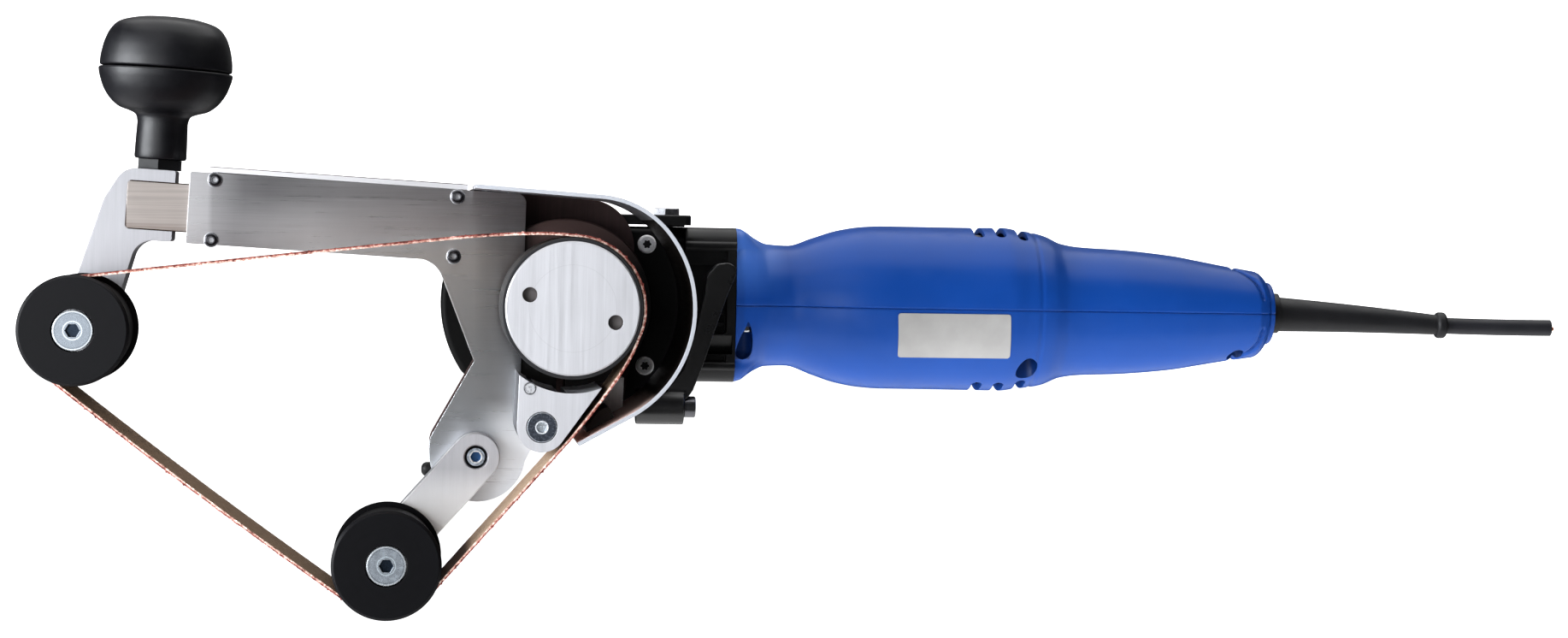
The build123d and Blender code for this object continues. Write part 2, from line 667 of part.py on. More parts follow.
with BuildPart() as adapter_disc:
    with BuildSketch(face_at(flange_y - 0.02)):
        with Locations(S):
            Circle(disc_r)
            Rectangle(110.0, 2 * disc_flat, mode=Mode.INTERSECT)
    extrude(amount=-disc_front + flange_y - 0.02)
    fillet(adapter_disc.edges().filter_by(Axis.Y), 9.0)
    fillet(adapter_disc.edges().group_by(Axis.Y)[0], 2.2)
    with BuildSketch(face_at(flange_y - 0.02)):
        with Locations((-74.8, -37.25)):
            Rectangle(14.4, 18.5)
        with Locations((-63.2, -32.7)):
            Rectangle(9.2, 5.2)
    extrude(amount=-disc_front + flange_y - 0.02)
    with BuildSketch(Plane.YZ.offset(-82.0)):
        with Locations((lever_y, lever_z)):
            Circle(4.6)
    extrude(amount=14.4)
    with BuildSketch(face_at(-30.0)):
        with Locations(S):
            Circle(24.2)
        with Locations(polar(S, 43.4, 36.6), polar(S, 43.4, -36.6)):
            Circle(2.1)
    extrude(amount=30.0, mode=Mode.SUBTRACT)
    with BuildSketch(face_at(disc_front)):
        with Locations((-52.2, 20.1)):
            Circle(1.6)
    extrude(amount=-4.0, mode=Mode.SUBTRACT)
    with BuildSketch(Plane.YZ.offset(-79.5)):
        with Locations((lever_y, lever_z)):
            Circle(3.02)
    extrude(amount=14.0, mode=Mode.SUBTRACT)
    # lug stays flush with the disc in front
    with BuildSketch(face_at(disc_front)):
        with Locations((-75.0, lever_z)):
            Rectangle(24.0, 20.0)
    extrude(amount=10.0, mode=Mode.SUBTRACT)
adapter_disc.part.label = "adapter_disc"
export_step(adapter_disc.part, "parts/adapter_disc.step")

disc_screw = star_pan_screw(3.95, 2.6, 2.0, 14.0)
with BuildPart() as adapter_screws:
    with Locations(*[facing(p[0], disc_front, p[1]).location for p in (polar(S, 43.4, 36.6), polar(S, 43.4, -36.6))]):
        add(disc_screw)
adapter_screws.part.label = "adapter_screws"
export_step(adapter_screws.part, "parts/adapter_screws.step")

with BuildPart() as clamp_collar:
    with BuildSketch(face_at(back_front - 0.1)):
        with Locations(S):
            Circle(36.0)
            Circle(24.1, mode=Mode.SUBTRACT)
        with Locations((-100.3, -30.0)):
            Rectangle(3.9, 20.0, mode=Mode.SUBTRACT)
    extrude(amount=19.9)
    chamfer(clamp_collar.edges().filter_by(GeomType.CIRCLE).sort_by(Axis.Y)[:2], 0.6)
clamp_collar.part.label = "clamp_collar"
export_step(clamp_collar.part, "parts/clamp_collar.step")

with BuildPart() as top_bracket:
    with BuildSketch(Plane.XY.offset(34.2)):
        with Locations((-60.3, -18.5)):
            RectangleRounded(31.4, 49.0, 2.5)
    extrude(amount=4.3)
    chamfer(top_bracket.edges().group_by(Axis.Z)[-1].filter_by(GeomType.LINE), 0.5)
    with BuildSketch(Plane.XY.offset(33.45)):
        with Locations((-51.8, -12.0)):
            Rectangle(11.0, 32.0)
    extrude(amount=1.0)
    with BuildSketch(Plane.XY.offset(33.0)):
        with Locations((bolt_x, bolt_y)):
            Circle(3.2)
    extrude(amount=10.0, mode=Mode.SUBTRACT)
top_bracket.part.label = "top_bracket"
export_step(top_bracket.part, "parts/top_bracket.step")

with BuildPart() as top_bolt:
    with BuildSketch(Plane.XY.offset(38.55)):
        with Locations((bolt_x, bolt_y)):
            RegularPolygon(5.3, 6, major_radius=False, rotation=20)
    extrude(amount=3.1)
    chamfer(top_bolt.edges().group_by(Axis.Z)[-1], 0.4)
    with BuildSketch(Plane.XY.offset(23.0)):
        with Locations((bolt_x, bolt_y)):
            Circle(3.0)
    extrude(amount=15.7)
top_bolt.part.label = "top_bolt"
export_step(top_bolt.part, "parts/top_bolt.step")

lever_outline = [(-57.2, -43), (-52.6, -34.6), (-46.4, -26.4), (-41.6, -8.3), (-38.6, 5.0), (-37.8, 13.0), (-33.6, 18.0), (-27.6, 18.8),
                 (-24.4, 15.2), (-28.8, 4.6), (-34.4, -12.0), (-38.4, -24.8), (-42.8, -36.2), (-46.8, -42)]
with BuildPart() as clamp_lever:
    with BuildSketch(face_at(-37.4)):
        with BuildLine():
            FilletPolyline(*lever_outline, radius=[0, 4, 10, 12, 8, 4, 4, 4, 3.5, 12, 12, 12, 4, 0], close=True)
        make_face()
    extrude(amount=8.6)
    with BuildSketch(Plane.YZ.offset(-67.0)):
        with Locations((lever_y, lever_z)):
            Circle(7.6)
    extrude(amount=20.4)
    with BuildSketch(Plane.YZ.offset(-70.0)):
        with Locations((lever_y, lever_z)):
            Circle(3.06)
    extrude(amount=30.0, mode=Mode.SUBTRACT)
    with BuildSketch(Plane.YZ.offset(-46.5)):
        with Locations((lever_y, lever_z)):
            Circle(5.0)
    extrude(amount=10.0, mode=Mode.SUBTRACT)
clamp_lever.part.label = "clamp_lever"
export_step(clamp_lever.part, "parts/clamp_lever.step")

lever_cap = cap_screw(4.5, 4.7, 3.0, 33.0, 2.6)
with BuildPart() as lever_screw:
    with Locations(Plane(origin=(-46.2, lever_y, lever_z), x_dir=(0, 1, 0), z_dir=(1, 0, 0)).location):
        add(lever_cap)
lever_screw.part.label = "lever_screw"
export_step(lever_screw.part, "parts/lever_screw.step")

# ------------------------------------------------------------------ plates of the belt arm

leg_foot = (-134.5, -62.5)
leg_foot_r = 20.0
platen_screw_at = (-110.1, -47.8)
left_side = [(uw(-9.8, 15.2), 0.8), (uw(-9.8, -14.4), 0.8), ((-153.2, 17.9), 11.5), ((-136.6, -24.0), 1.0), ((-154.4, -56.3), 9.0)]
cover_outline = left_side + [((-154.5, -62.5), 0), ((-134.5, -82.5), 0), ((-117.5, -71.2), 0), ((-110.8, -57.2), 3.0), ((-102.0, -42.0), 4.0),
                             ((-117.2, -36.0), 3.0), (uw(128.4, 15.45), 4.0)]
back_outline = left_side + [((-154.5, -62.5), 0), ((-134.5, -82.5), 0), ((-118.2, -70.5), 0), ((-110.2, -55.0), 4.0), ((-73.5, -45.0), 3.0), ((-69.0, -20.0), 8.0),
                            ((-69.3, 43.28), 20.5), ((-138.6, 47.63), 0.5), (uw(104.6, 15.35), 0)]
cover_screws_at = [uw(0.5, 12.4), uw(0.5, -12.4), uw(100.0, 12.4), uw(100.0, -12.4)]

with BuildPart() as cover_plate:
    with BuildSketch(face_at(box_front)):
        with BuildLine():
            FilletPolyline(*[p for p, r in cover_outline], radius=[r for p, r in cover_outline], close=True)
        make_face()
        with Locations(leg_foot):
            Circle(leg_foot_r)
        with Locations(*cover_screws_at):
            Circle(1.7, mode=Mode.SUBTRACT)
        with Locations(arm_pivot):
            Circle(3.1, mode=Mode.SUBTRACT)
        with Locations(platen_screw_at):
            Circle(3.1, mode=Mode.SUBTRACT)
    extrude(amount=box_front - cover_front)
cover_plate.part.label = "cover_plate"
export_step(cover_plate.part, "parts/cover_plate.step")

with BuildPart() as back_plate:
    with BuildSketch(face_at(disc_front)):
        with BuildLine():
            FilletPolyline(*[p for p, r in back_outline], radius=[r for p, r in back_outline], close=True)
        make_face()
        with Locations(leg_foot):
            Circle(leg_foot_r)
        with Locations(S):
            Circle(24.3, mode=Mode.SUBTRACT)
        with Locations(*cover_screws_at):
            Circle(1.53, mode=Mode.SUBTRACT)
        with Locations(arm_pivot):
            Circle(2.55, mode=Mode.SUBTRACT)
        with Locations(platen_screw_at):
            Circle(3.02, mode=Mode.SUBTRACT)
    extrude(amount=disc_front - back_front)
back_plate.part.label = "back_plate"
export_step(back_plate.part, "parts/back_plate.step")

cover_screw = button_screw(3.1, 1.9, 1.5, 24.5, 1.15)
with BuildPart() as cover_screws:
    with Locations(*[facing(p[0], cover_front, p[1]).location for p in cover_screws_at]):
        add(cover_screw)
cover_screws.part.label = "cover_screws"
export_step(cover_screws.part, "parts/cover_screws.step")

rail_in = bar_size / 2 + 0.25
with BuildPart() as guide_rails:
    with BuildSketch(bar_plane(back_front - 0.02)):
        with BuildLine():
            Polyline((-9.8, rail_in), (127.0, rail_in), (127.0, box_half), (-9.8, box_half), close=True)
        make_face()
        with BuildLine():
            Polyline((-9.8, -rail_in), (103.0, -rail_in), (103.0, -box_half), (-9.8, -box_half), close=True)
        make_face()
        # cross piece that the tension spring bears on
        with Locations((92.0, 0.0)):
            Rectangle(8.0, 2 * rail_in + 1.0)
        with Locations((0.5, 12.4), (0.5, -12.4), (100.0, 12.4), (100.0, -12.4)):
            Circle(1.53, mode=Mode.SUBTRACT)
    extrude(amount=back_front - box_front - 0.04)
    with BuildSketch(Plane(origin=(bar_x, -58.75, bar_z), x_dir=(ct, 0, -st), z_dir=(st, 0, ct)).offset(box_half - 0.5)):
        with Locations((112.0, 0.0), (122.0, 0.0)):
            Circle(3.4)
    extrude(amount=1.5)
    with BuildSketch(Plane(origin=(bar_x, -58.75, bar_z), x_dir=(ct, 0, -st), z_dir=(st, 0, ct)).offset(rail_in)):
        with Locations((112.0, 0.0), (122.0, 0.0)):
            Circle(2.02)
    extrude(amount=8.0, mode=Mode.SUBTRACT)
guide_rails.part.label = "guide_rails"
export_step(guide_rails.part, "parts/guide_rails.step")

with BuildPart() as top_strip:
    with BuildSketch(bar_plane(disc_front - 0.3)):
        with Locations((51.0, 16.65)):
            RectangleRounded(106.0, 2.3, 0.4)
    extrude(amount=25.0)
top_strip.part.label = "top_strip"
export_step(top_strip.part, "parts/top_strip.step")

with BuildPart() as leg_spacer:
    with BuildSketch(face_at(back_front - 0.02)):
        with Locations(leg_foot):
            Circle(16.5)
        with BuildLine():
            FilletPolyline((-146.0, -50.0), (-136.0, -33.0), (-126.0, -31.0), (-117.5, -41.0), (-104.5, -43.5), (-105.0, -54.5), (-122.0, -57.0),
                           radius=[0, 3, 3, 2, 3, 3, 0], close=True)
        make_face()
        with Locations(arm_pivot):
            Circle(2.55, mode=Mode.SUBTRACT)
        with Locations(platen_screw_at):
            Circle(3.02, mode=Mode.SUBTRACT)
    extrude(amount=back_front - box_front - 0.04)
leg_spacer.part.label = "leg_spacer"
export_step(leg_spacer.part, "parts/leg_spacer.step")

with BuildPart() as arm_stop:
    with BuildSketch(Plane(origin=(-157.6, -60.0, -70.0), x_dir=(0, 1, 0), z_dir=(1, 0, 0))):
        Circle(3.0)
    extrude(amount=8.4)
    with BuildSketch(face_at(-40.0)):
        with Locations(leg_foot):
            Circle(16.55)
    extrude(amount=40.0, mode=Mode.SUBTRACT)
    fillet(arm_stop.edges().group_by(Axis.X)[0], 2.4)
arm_stop.part.label = "arm_stop"
export_step(arm_stop.part, "parts/arm_stop.step")

# ------------------------------------------------------------------ tension slide

with BuildPart() as slide_bar:
    with BuildSketch(bar_plane(-48.75)):
        with BuildLine():
            FilletPolyline((-35.0, 10.0), (-35.0, -10.0), (58.0, -10.0), (58.0, 10.0), radius=[1.8, 1.8, 0.6, 0.6], close=True)
        make_face()
    extrude(amount=20.0)
    with BuildSketch(Plane(origin=uw(58.0, 0)[:1] + (-58.75,) + uw(58.0, 0)[1:], x_dir=(0, 1, 0), z_dir=(ct, 0, -st))):
        Circle(6.4)
    extrude(amount=-16.0, mode=Mode.SUBTRACT)
slide_bar.part.label = "slide_bar"
export_step(slide_bar.part, "parts/slide_bar.step")

axle_u = (front_axle[0] - bar_x) * ct - (front_axle[1] - bar_z) * st
axle_w = (front_axle[0] - bar_x) * st + (front_axle[1] - bar_z) * ct
arm_outline = [((-15.8, 15.0), 0.8), ((-36.8, 15.0), 9.0), ((-44.2, 1.8), 14.0), ((axle_u - 11.2, axle_w), 0), ((axle_u, axle_w), 0),
               ((axle_u + 8.8, axle_w), 0), ((-29.8, -14.3), 8.5), ((-15.8, -14.3), 1.2), ((-15.8, -10.02), 0),
               ((-35.02, -10.02), 1.8), ((-35.02, 10.02), 1.8), ((-15.8, 10.02), 0)]
with BuildPart() as front_arm:
    with BuildSketch(bar_plane(-48.75)):
        with BuildLine():
            FilletPolyline(*[p for p, r in arm_outline], radius=[r for p, r in arm_outline], close=True)
        make_face()
        with Locations((axle_u, axle_w)):
            Circle(11.4)
            Circle(4.02, mode=Mode.SUBTRACT)
    extrude(amount=20.0)
    # boss behind the roller
    with BuildSketch(bar_plane(-68.0)):
        with Locations((axle_u, axle_w)):
            Circle(8.0)
            Circle(4.02, mode=Mode.SUBTRACT)
    extrude(amount=14.4)
    with BuildSketch(Plane(origin=(uw(knob_u, 9.0)[0], -58.75, uw(knob_u, 9.0)[1]), x_dir=(ct, 0, -st), z_dir=(st, 0, ct))):
        Circle(4.02)
    extrude(amount=10.0, mode=Mode.SUBTRACT)
front_arm.part.label = "front_arm"
export_step(front_arm.part, "parts/front_arm.step")

knob_plane = Plane(origin=(uw(knob_u, 0)[0], -58.75, uw(knob_u, 0)[1]), x_dir=(ct, 0, -st), z_dir=(0, -1, 0))
knob_axis = Axis((uw(knob_u, 0)[0], -58.75, uw(knob_u, 0)[1]), (st, 0, ct))

with BuildPart() as knob_stud:
    with BuildSketch(Plane(origin=(uw(knob_u, 15.05)[0], -58.75, uw(knob_u, 15.05)[1]), x_dir=(0, 1, 0), z_dir=(st, 0, ct))):
        RegularPolygon(8.5, 6, major_radius=False)
    extrude(amount=4.2)
    with BuildSketch(Plane(origin=(uw(knob_u, 10.3)[0], -58.75, uw(knob_u, 10.3)[1]), x_dir=(0, 1, 0), z_dir=(st, 0, ct))):
        Circle(4.0)
    extrude(amount=35.0)
knob_stud.part.label = "knob_stud"
export_step(knob_stud.part, "parts/knob_stud.step")

with BuildPart() as knob_base:
    with BuildSketch(knob_plane):
        with BuildLine():
            Polyline((4.03, 19.3), (9.9, 19.3), (10.7, 20.1), (10.3, 34.5))
            Spline((10.3, 34.5), (11.2, 37.4), (14.0, 38.8), (18.2, 40.2), (22.0, 43.2), (25.0, 47.6), (26.8, 52.4), (27.4, 55.4),
                   tangents=[(0, 1), (0.05, 1)])
            Polyline((27.4, 55.4), (27.2, 56.2), (24.0, 56.2), (18.0, 50.0), (8.0, 48.5), (8.0, 46.0), (4.03, 46.0), (4.03, 19.3))
        make_face()
    revolve(axis=knob_axis)
knob_base.part.label = "knob_base"
export_step(knob_base.part, "parts/knob_base.step")

with BuildPart() as knob_cap:
    with BuildSketch(knob_plane):
        with BuildLine():
            Polyline((0, 74.5), (18.0, 72.0), (23.5, 66.0), (24.2, 56.7), (26.6, 56.7), (27.0, 57.2))
            Spline((27.0, 57.2), (26.8, 61.5), (25.6, 67.0), (23.4, 72.0), (19.6, 75.6), (12.0, 77.7), (0, 78.5),
                   tangents=[(0.0, 1), (-1, 0)])
            Line((0, 78.5), (0, 74.5))
        make_face()
    revolve(axis=knob_axis)
knob_cap.part.label = "knob_cap"
export_step(knob_cap.part, "parts/knob_cap.step")

spring_r, wire_r = 5.4, 0.8
with BuildPart() as tension_spring:
    with BuildLine() as coil:
        Helix(pitch=5.2, height=44.0, radius=spring_r, center=(uw(43.0, 0)[0], -58.75, uw(43.0, 0)[1]), direction=(ct, 0, -st))
    with BuildSketch(Plane(origin=coil.line @ 0, z_dir=coil.line % 0)):
        Circle(wire_r)
    sweep(is_frenet=True)
tension_spring.part.label = "tension_spring"
export_step(tension_spring.part, "parts/tension_spring.step")

# ------------------------------------------------------------------ rollers

roller_profile = [(11.0, roller_rear), (flange_r - 0.9, roller_rear), (flange_r, roller_rear - 0.9), (flange_r, roller_rear - flange_t),
                  (tread_r, roller_rear - flange_t), (tread_r, roller_front + flange_t), (flange_r, roller_front + flange_t),
                  (flange_r, roller_front + 1.1), (flange_r - 1.1, roller_front), (8.45, roller_front), (8.45, -122.0), (11.0, -122.0)]
roller_bearing = ball_bearing(4.05, 10.97, 7.0)
axle_screw = csk_screw(8.0, 4.0, 59.0, 2.9)
lower_axle_bolt = csk_screw(8.0, 4.0, 56.0, 2.9)

with BuildPart() as front_roller:
    with BuildSketch(Plane.XY.offset(front_axle[1])):
        with BuildLine():
            Polyline(*[(front_axle[0] + r, y) for r, y in roller_profile], close=True)
        make_face()
    revolve(axis=Axis((front_axle[0], 0, front_axle[1]), (0, 1, 0)))
front_roller.part.label = "front_roller"
export_step(front_roller.part, "parts/front_roller.step")

with BuildPart() as front_roller_bearings:
    with Locations(facing(front_axle[0], -114.9, front_axle[1]).location, facing(front_axle[0], -83.6, front_axle[1]).location):
        add(roller_bearing)
front_roller_bearings.part.label = "front_roller_bearings"
export_step(front_roller_bearings.part, "parts/front_roller_bearings.step")

with BuildPart() as front_axle_screw:
    with Locations(facing(front_axle[0], roller_front + 0.1, front_axle[1]).location):
        add(csk_screw(8.0, 4.0, 78.0, 2.9))
front_axle_screw.part.label = "front_axle_screw"
export_step(front_axle_screw.part, "parts/front_axle_screw.step")

with BuildPart() as lower_roller:
    with BuildSketch(Plane.XY.offset(lower_axle[1])):
        with BuildLine():
            Polyline(*[(lower_axle[0] + r, y) for r, y in roller_profile], close=True)
        make_face()
    revolve(axis=Axis((lower_axle[0], 0, lower_axle[1]), (0, 1, 0)))
lower_roller.part.label = "lower_roller"
export_step(lower_roller.part, "parts/lower_roller.step")

with BuildPart() as lower_roller_bearings:
    with Locations(facing(lower_axle[0], -114.9, lower_axle[1]).location, facing(lower_axle[0], -83.6, lower_axle[1]).location):
        add(roller_bearing)
lower_roller_bearings.part.label = "lower_roller_bearings"
export_step(lower_roller_bearings.part, "parts/lower_roller_bearings.step")

with BuildPart() as lower_axle_screw:
    with Locations(facing(lower_axle[0], roller_front + 0.1, lower_axle[1]).location):
        add(lower_axle_bolt)
lower_axle_screw.part.label = "lower_axle_screw"
export_step(lower_axle_screw.part, "parts/lower_axle_screw.step")

arm_mid = ((arm_pivot[0] + lower_axle[0]) / 2, (arm_pivot[1] + lower_axle[1]) / 2)
arm_len = math.dist(arm_pivot, lower_axle)
arm_deg = math.degrees(math.atan2(arm_pivot[1] - lower_axle[1], arm_pivot[0] - lower_axle[0]))
with BuildPart() as lower_arm:
    with BuildSketch(face_at(arm_back)):
        with Locations(arm_mid):
            SlotCenterToCenter(arm_len, 19.9, rotation=arm_deg)
        with Locations(arm_pivot):
            Circle(2.58, mode=Mode.SUBTRACT)
        with Locations(lower_axle):
            Circle(4.02, mode=Mode.SUBTRACT)
    extrude(amount=arm_back - arm_front)
    with BuildSketch(face_at(arm_front)):
        with Locations(arm_pivot):
            Circle(4.75)
    extrude(amount=-6.2, mode=Mode.SUBTRACT)
    chamfer(lower_arm.edges().group_by(Axis.Y)[0], 0.4)
lower_arm.part.label = "lower_arm"
export_step(lower_arm.part, "parts/lower_arm.step")

pivot_cap = cap_screw(4.25, 5.0, 2.5, 30.0, 2.3)
with BuildPart() as pivot_screw:
    with Locations(facing(arm_pivot[0], arm_front + 6.15, arm_pivot[1]).location):
        add(pivot_cap)
pivot_screw.part.label = "pivot_screw"
export_step(pivot_screw.part, "parts/pivot_screw.step")

# ------------------------------------------------------------------ drum and belt

core_r = drum_r - tyre_t
with BuildPart() as drum_core:
    with BuildSketch(Plane.XY):
        with BuildLine():
            Polyline(
                (spindle_x, drum_front), (spindle_x + core_r - 0.5, drum_front), (spindle_x + core_r, drum_front + 0.5),
                (spindle_x + core_r, drum_rear), (spindle_x + 24.0, drum_rear), (spindle_x + 24.0, -119.0), (spindle_x + 13.0, -119.0),
                (spindle_x + 13.0, drum_rear), (spindle_x + 7.04, drum_rear), (spindle_x + 7.04, -120.5), (spindle_x, -120.5), close=True,
            )
        make_face()
    revolve(axis=Axis((spindle_x, 0, 0), (0, 1, 0)))
    with BuildSketch(face_at(drum_front)):
        with Locations(*[polar(S, spanner_pcd / 2, a) for a in (spanner_angle, spanner_angle + 180)]):
            Circle(spanner_r)
    extrude(amount=-7.0, mode=Mode.SUBTRACT)
drum_core.part.label = "drum_core"
export_step(drum_core.part, "parts/drum_core.step")

with BuildPart() as drum_tyre:
    with BuildSketch(Plane.XY):
        with BuildLine():
            Polyline(
                (spindle_x + core_r + 0.02, drum_front + 1.0), (spindle_x + drum_r - 0.4, drum_front + 1.0), (spindle_x + drum_r, drum_front + 1.4),
                (spindle_x + drum_r, drum_rear - 0.6), (spindle_x + core_r + 0.02, drum_rear - 0.6), close=True,
            )
        make_face()
    revolve(axis=Axis((spindle_x, 0, 0), (0, 1, 0)))
drum_tyre.part.label = "drum_tyre"
export_step(drum_tyre.part, "parts/drum_tyre.step")


# where the belt's middle line meets and leaves the drum and the rollers, as angles
front_off, drum_on, drum_off, lower_on, lower_off, front_on = 97.1, 85.0, -14.0, -41.1, 235.2, 231.8
drum_mid, roller_mid = drum_r + belt_gap + belt_t / 2, tread_r + belt_gap + belt_t / 2
# the belt is stiff and stands off between them: points of its middle line
top_run = [(-267.2, 12.45), (-240.6, 15.75), (-214.0, 19.05), (-187.1, 22.35), (-170.0, 24.4), (-153.5, 26.4), (-139.9, 27.95),
           (-126.4, 29.1), (-112.8, 29.75), (-104.5, 29.7)]
right_run = [(-75.85, -20.55), (-84.65, -34.15), (-97.98, -51.67)]


def along(angle):
    """Direction of the belt where its outward normal has the given angle."""
    return (math.sin(math.radians(angle)), -math.cos(math.radians(angle)))


def beside(points, first, last, off):
    """A run's inner points moved outwards, given its two end points."""
    line = [first] + points + [last]
    moved = []
    for a, p, c in zip(line, points, line[2:]):
        dx, dz = c[0] - a[0], c[1] - a[1]
        d = math.hypot(dx, dz)
        moved.append((p[0] - off * dz / d, p[1] + off * dx / d))
    return moved


low_mid = ((front_axle[0] + lower_axle[0]) / 2, (front_axle[1] + lower_axle[1]) / 2)
low_angle = math.degrees(math.atan2(front_axle[1] - lower_axle[1], front_axle[0] - lower_axle[0])) + 90.0
left_run = [polar(low_mid, roller_mid + 1.15, low_angle)]
belt_length = 0.0
with BuildPart() as sanding_belt:
    with BuildSketch(face_at(belt_front + belt_width)):
        for off, m in ((belt_t / 2, Mode.ADD), (-belt_t / 2, Mode.SUBTRACT)):
            rd, rr = drum_mid + off, roller_mid + off
            straight = polar(lower_axle, rr, lower_on)
            free = beside(right_run, polar(S, drum_mid, drum_off), polar(lower_axle, roller_mid, lower_on), off)
            with BuildLine() as loop:
                Spline(polar(front_axle, rr, front_off), *beside(top_run, polar(front_axle, roller_mid, front_off), polar(S, drum_mid, drum_on), off),
                       polar(S, rd, drum_on), tangents=[along(front_off), along(drum_on)])
                CenterArc(S, rd, drum_off, drum_on - drum_off)
                Spline(polar(S, rd, drum_off), *free, tangents=[along(drum_off), along(lower_on)])
                Line(free[-1], straight)
                CenterArc(lower_axle, rr, lower_off - 360.0, lower_on - lower_off + 360.0)
                Spline(polar(lower_axle, rr, lower_off), *beside(left_run, polar(lower_axle, roller_mid, lower_off), polar(front_axle, roller_mid, front_on), off),
                       polar(front_axle, rr, front_on), tangents=[along(lower_off), along(front_on)])
                CenterArc(front_axle, rr, front_off, front_on - front_off)
            belt_length += sum(e.length for e in loop.edges()) / 2
            make_face(mode=m)
    extrude(amount=belt_width)
print("belt length", round(belt_length, 1))
sanding_belt.part.label = "sanding_belt"
export_step(sanding_belt.part, "parts/sanding_belt.step")

# ------------------------------------------------------------------ platen and guard

platen_r = 10.0
with BuildPart() as platen:
    with BuildSketch(face_at(cover_front - 0.2)):
        with BuildLine():
            Polyline((-119.2, -20.0), (-120.1, -47.8), platen_screw_at, (-101.95, -53.59), (-85.3, -30.2), (-98.0, -18.0), close=True)
        make_face()
        with Locations(platen_screw_at):
            Circle(platen_r)
        with Locations(S):
            Circle(34.0, mode=Mode.SUBTRACT)
        with Locations(platen_screw_at):
            Circle(3.1, mode=Mode.SUBTRACT)
        with Locations((-115.1, -32.2)):
            Circle(2.52, mode=Mode.SUBTRACT)
    extrude(amount=55.1)
    with BuildSketch(face_at(cover_front - 0.2)):
        with Locations((-102.3, -34.0)):
            Rectangle(3.7, 8.0)
    extrude(amount=54.3, mode=Mode.SUBTRACT)
    with BuildSketch(Plane.XY.offset(platen_screw_at[1])):
        with BuildLine():
            Polyline((platen_screw_at[0], -126.8), (platen_screw_at[0] + 6.25, -126.8), (platen_screw_at[0] + 6.25, -126.2),
                     (platen_screw_at[0] + 3.05, -123.0), (platen_screw_at[0], -123.0), close=True)
        make_face()
    revolve(axis=Axis((platen_screw_at[0], 0, platen_screw_at[1]), (0, 1, 0)), mode=Mode.SUBTRACT)
platen.part.label = "platen"
export_step(platen.part, "parts/platen.step")

with BuildPart() as platen_screw:
    with Locations(facing(platen_screw_at[0], -126.7, platen_screw_at[1]).location):
        add(csk_screw(6.0, 3.0, 80.0, 2.3))
platen_screw.part.label = "platen_screw"
export_step(platen_screw.part, "parts/platen_screw.step")

with BuildPart() as platen_pin:
    with BuildSketch(face_at(-100.0)):
        with Locations((-115.1, -32.2)):
            Circle(2.5)
    extrude(amount=26.9)
platen_pin.part.label = "platen_pin"
export_step(platen_pin.part, "parts/platen_pin.step")

guard_tilt, bend_from, bend_to = 3.6, 38.0, -61.0
guard_start = (-138.0, 48.9)
gn = (math.sin(math.radians(guard_tilt)), math.cos(math.radians(guard_tilt)))
flat_d = gn[0] * (guard_start[0] - S[0]) + gn[1] * (guard_start[1] - S[1])
k = gn[0] * math.cos(math.radians(bend_from)) + gn[1] * math.sin(math.radians(bend_from))
bend_r = (flat_d - guard_r * k) / (1 - k)
bend_c = polar(S, guard_r - bend_r, bend_from)
end_dir2 = (math.sin(math.radians(bend_to)), -math.cos(math.radians(bend_to)))
end_run = 23.6


def guard_line(inset):
    """Guard sheet's line, inset from its outer face."""
    start = (guard_start[0] - inset * gn[0], guard_start[1] - inset * gn[1])
    bend = (bend_c[0] + (bend_r - inset) * gn[0], bend_c[1] + (bend_r - inset) * gn[1])
    tail_start = polar(S, guard_r - inset, bend_to)
    tail_end = (tail_start[0] + end_run * end_dir2[0], tail_start[1] + end_run * end_dir2[1])
    return start, bend, tail_start, tail_end


o, i = guard_line(0.0), guard_line(guard_t)
guard_screw_plane = Plane(
    origin=(o[2][0] + 10.0 * end_dir2[0], -98.0, o[2][1] + 10.0 * end_dir2[1]), x_dir=(0, 1, 0), z_dir=(-end_dir2[1], 0, end_dir2[0]) if -end_dir2[1] * (o[2][0] - S[0]) + end_dir2[0] * o[2][1] > 0 else (end_dir2[1], 0, -end_dir2[0]),
)
# where the rail's two hole axes leave the guard's outer face
seat_planes = []
for u in (112.0, 122.0):
    p = uw(u, 0.0)
    t = (flat_d - (gn[0] * (p[0] - S[0]) + gn[1] * (p[1] - S[1]))) / (gn[0] * st + gn[1] * ct)
    seat_planes.append(Plane(origin=(p[0] + t * st, -58.75, p[1] + t * ct), x_dir=(0, 1, 0), z_dir=(st, 0, ct)))
with BuildPart() as guard_sink:
    with BuildSketch(Plane.XZ):
        with BuildLine():
            Polyline((0, 1.0), (3.0, 1.0), (3.0, -0.58), (2.2, -1.38), (2.2, -6.0), (0, -6.0), close=True)
        make_face()
    revolve(axis=Axis.Z)
with BuildPart() as belt_guard:
    with BuildSketch(face_at(guard_rear)):
        with BuildLine():
            Line(o[0], o[1])
            CenterArc(bend_c, bend_r, bend_from, 90.0 - guard_tilt - bend_from)
            CenterArc(S, guard_r, bend_to, bend_from - bend_to)
            Line(o[2], o[3])
            Line(o[3], i[3])
            Line(i[3], i[2])
            CenterArc(S, guard_r - guard_t, bend_to, bend_from - bend_to)
            CenterArc(bend_c, bend_r - guard_t, bend_from, 90.0 - guard_tilt - bend_from)
            Line(i[1], i[0])
            Line(i[0], o[0])
        make_face()
    extrude(amount=guard_rear - guard_front)
    with BuildSketch(guard_screw_plane):
        Circle(2.2)
    extrude(amount=-8.0, mode=Mode.SUBTRACT)
    with Locations(*[q.location for q in seat_planes]):
        add(guard_sink.part, mode=Mode.SUBTRACT)
belt_guard.part.label = "belt_guard"
export_step(belt_guard.part, "parts/belt_guard.step")

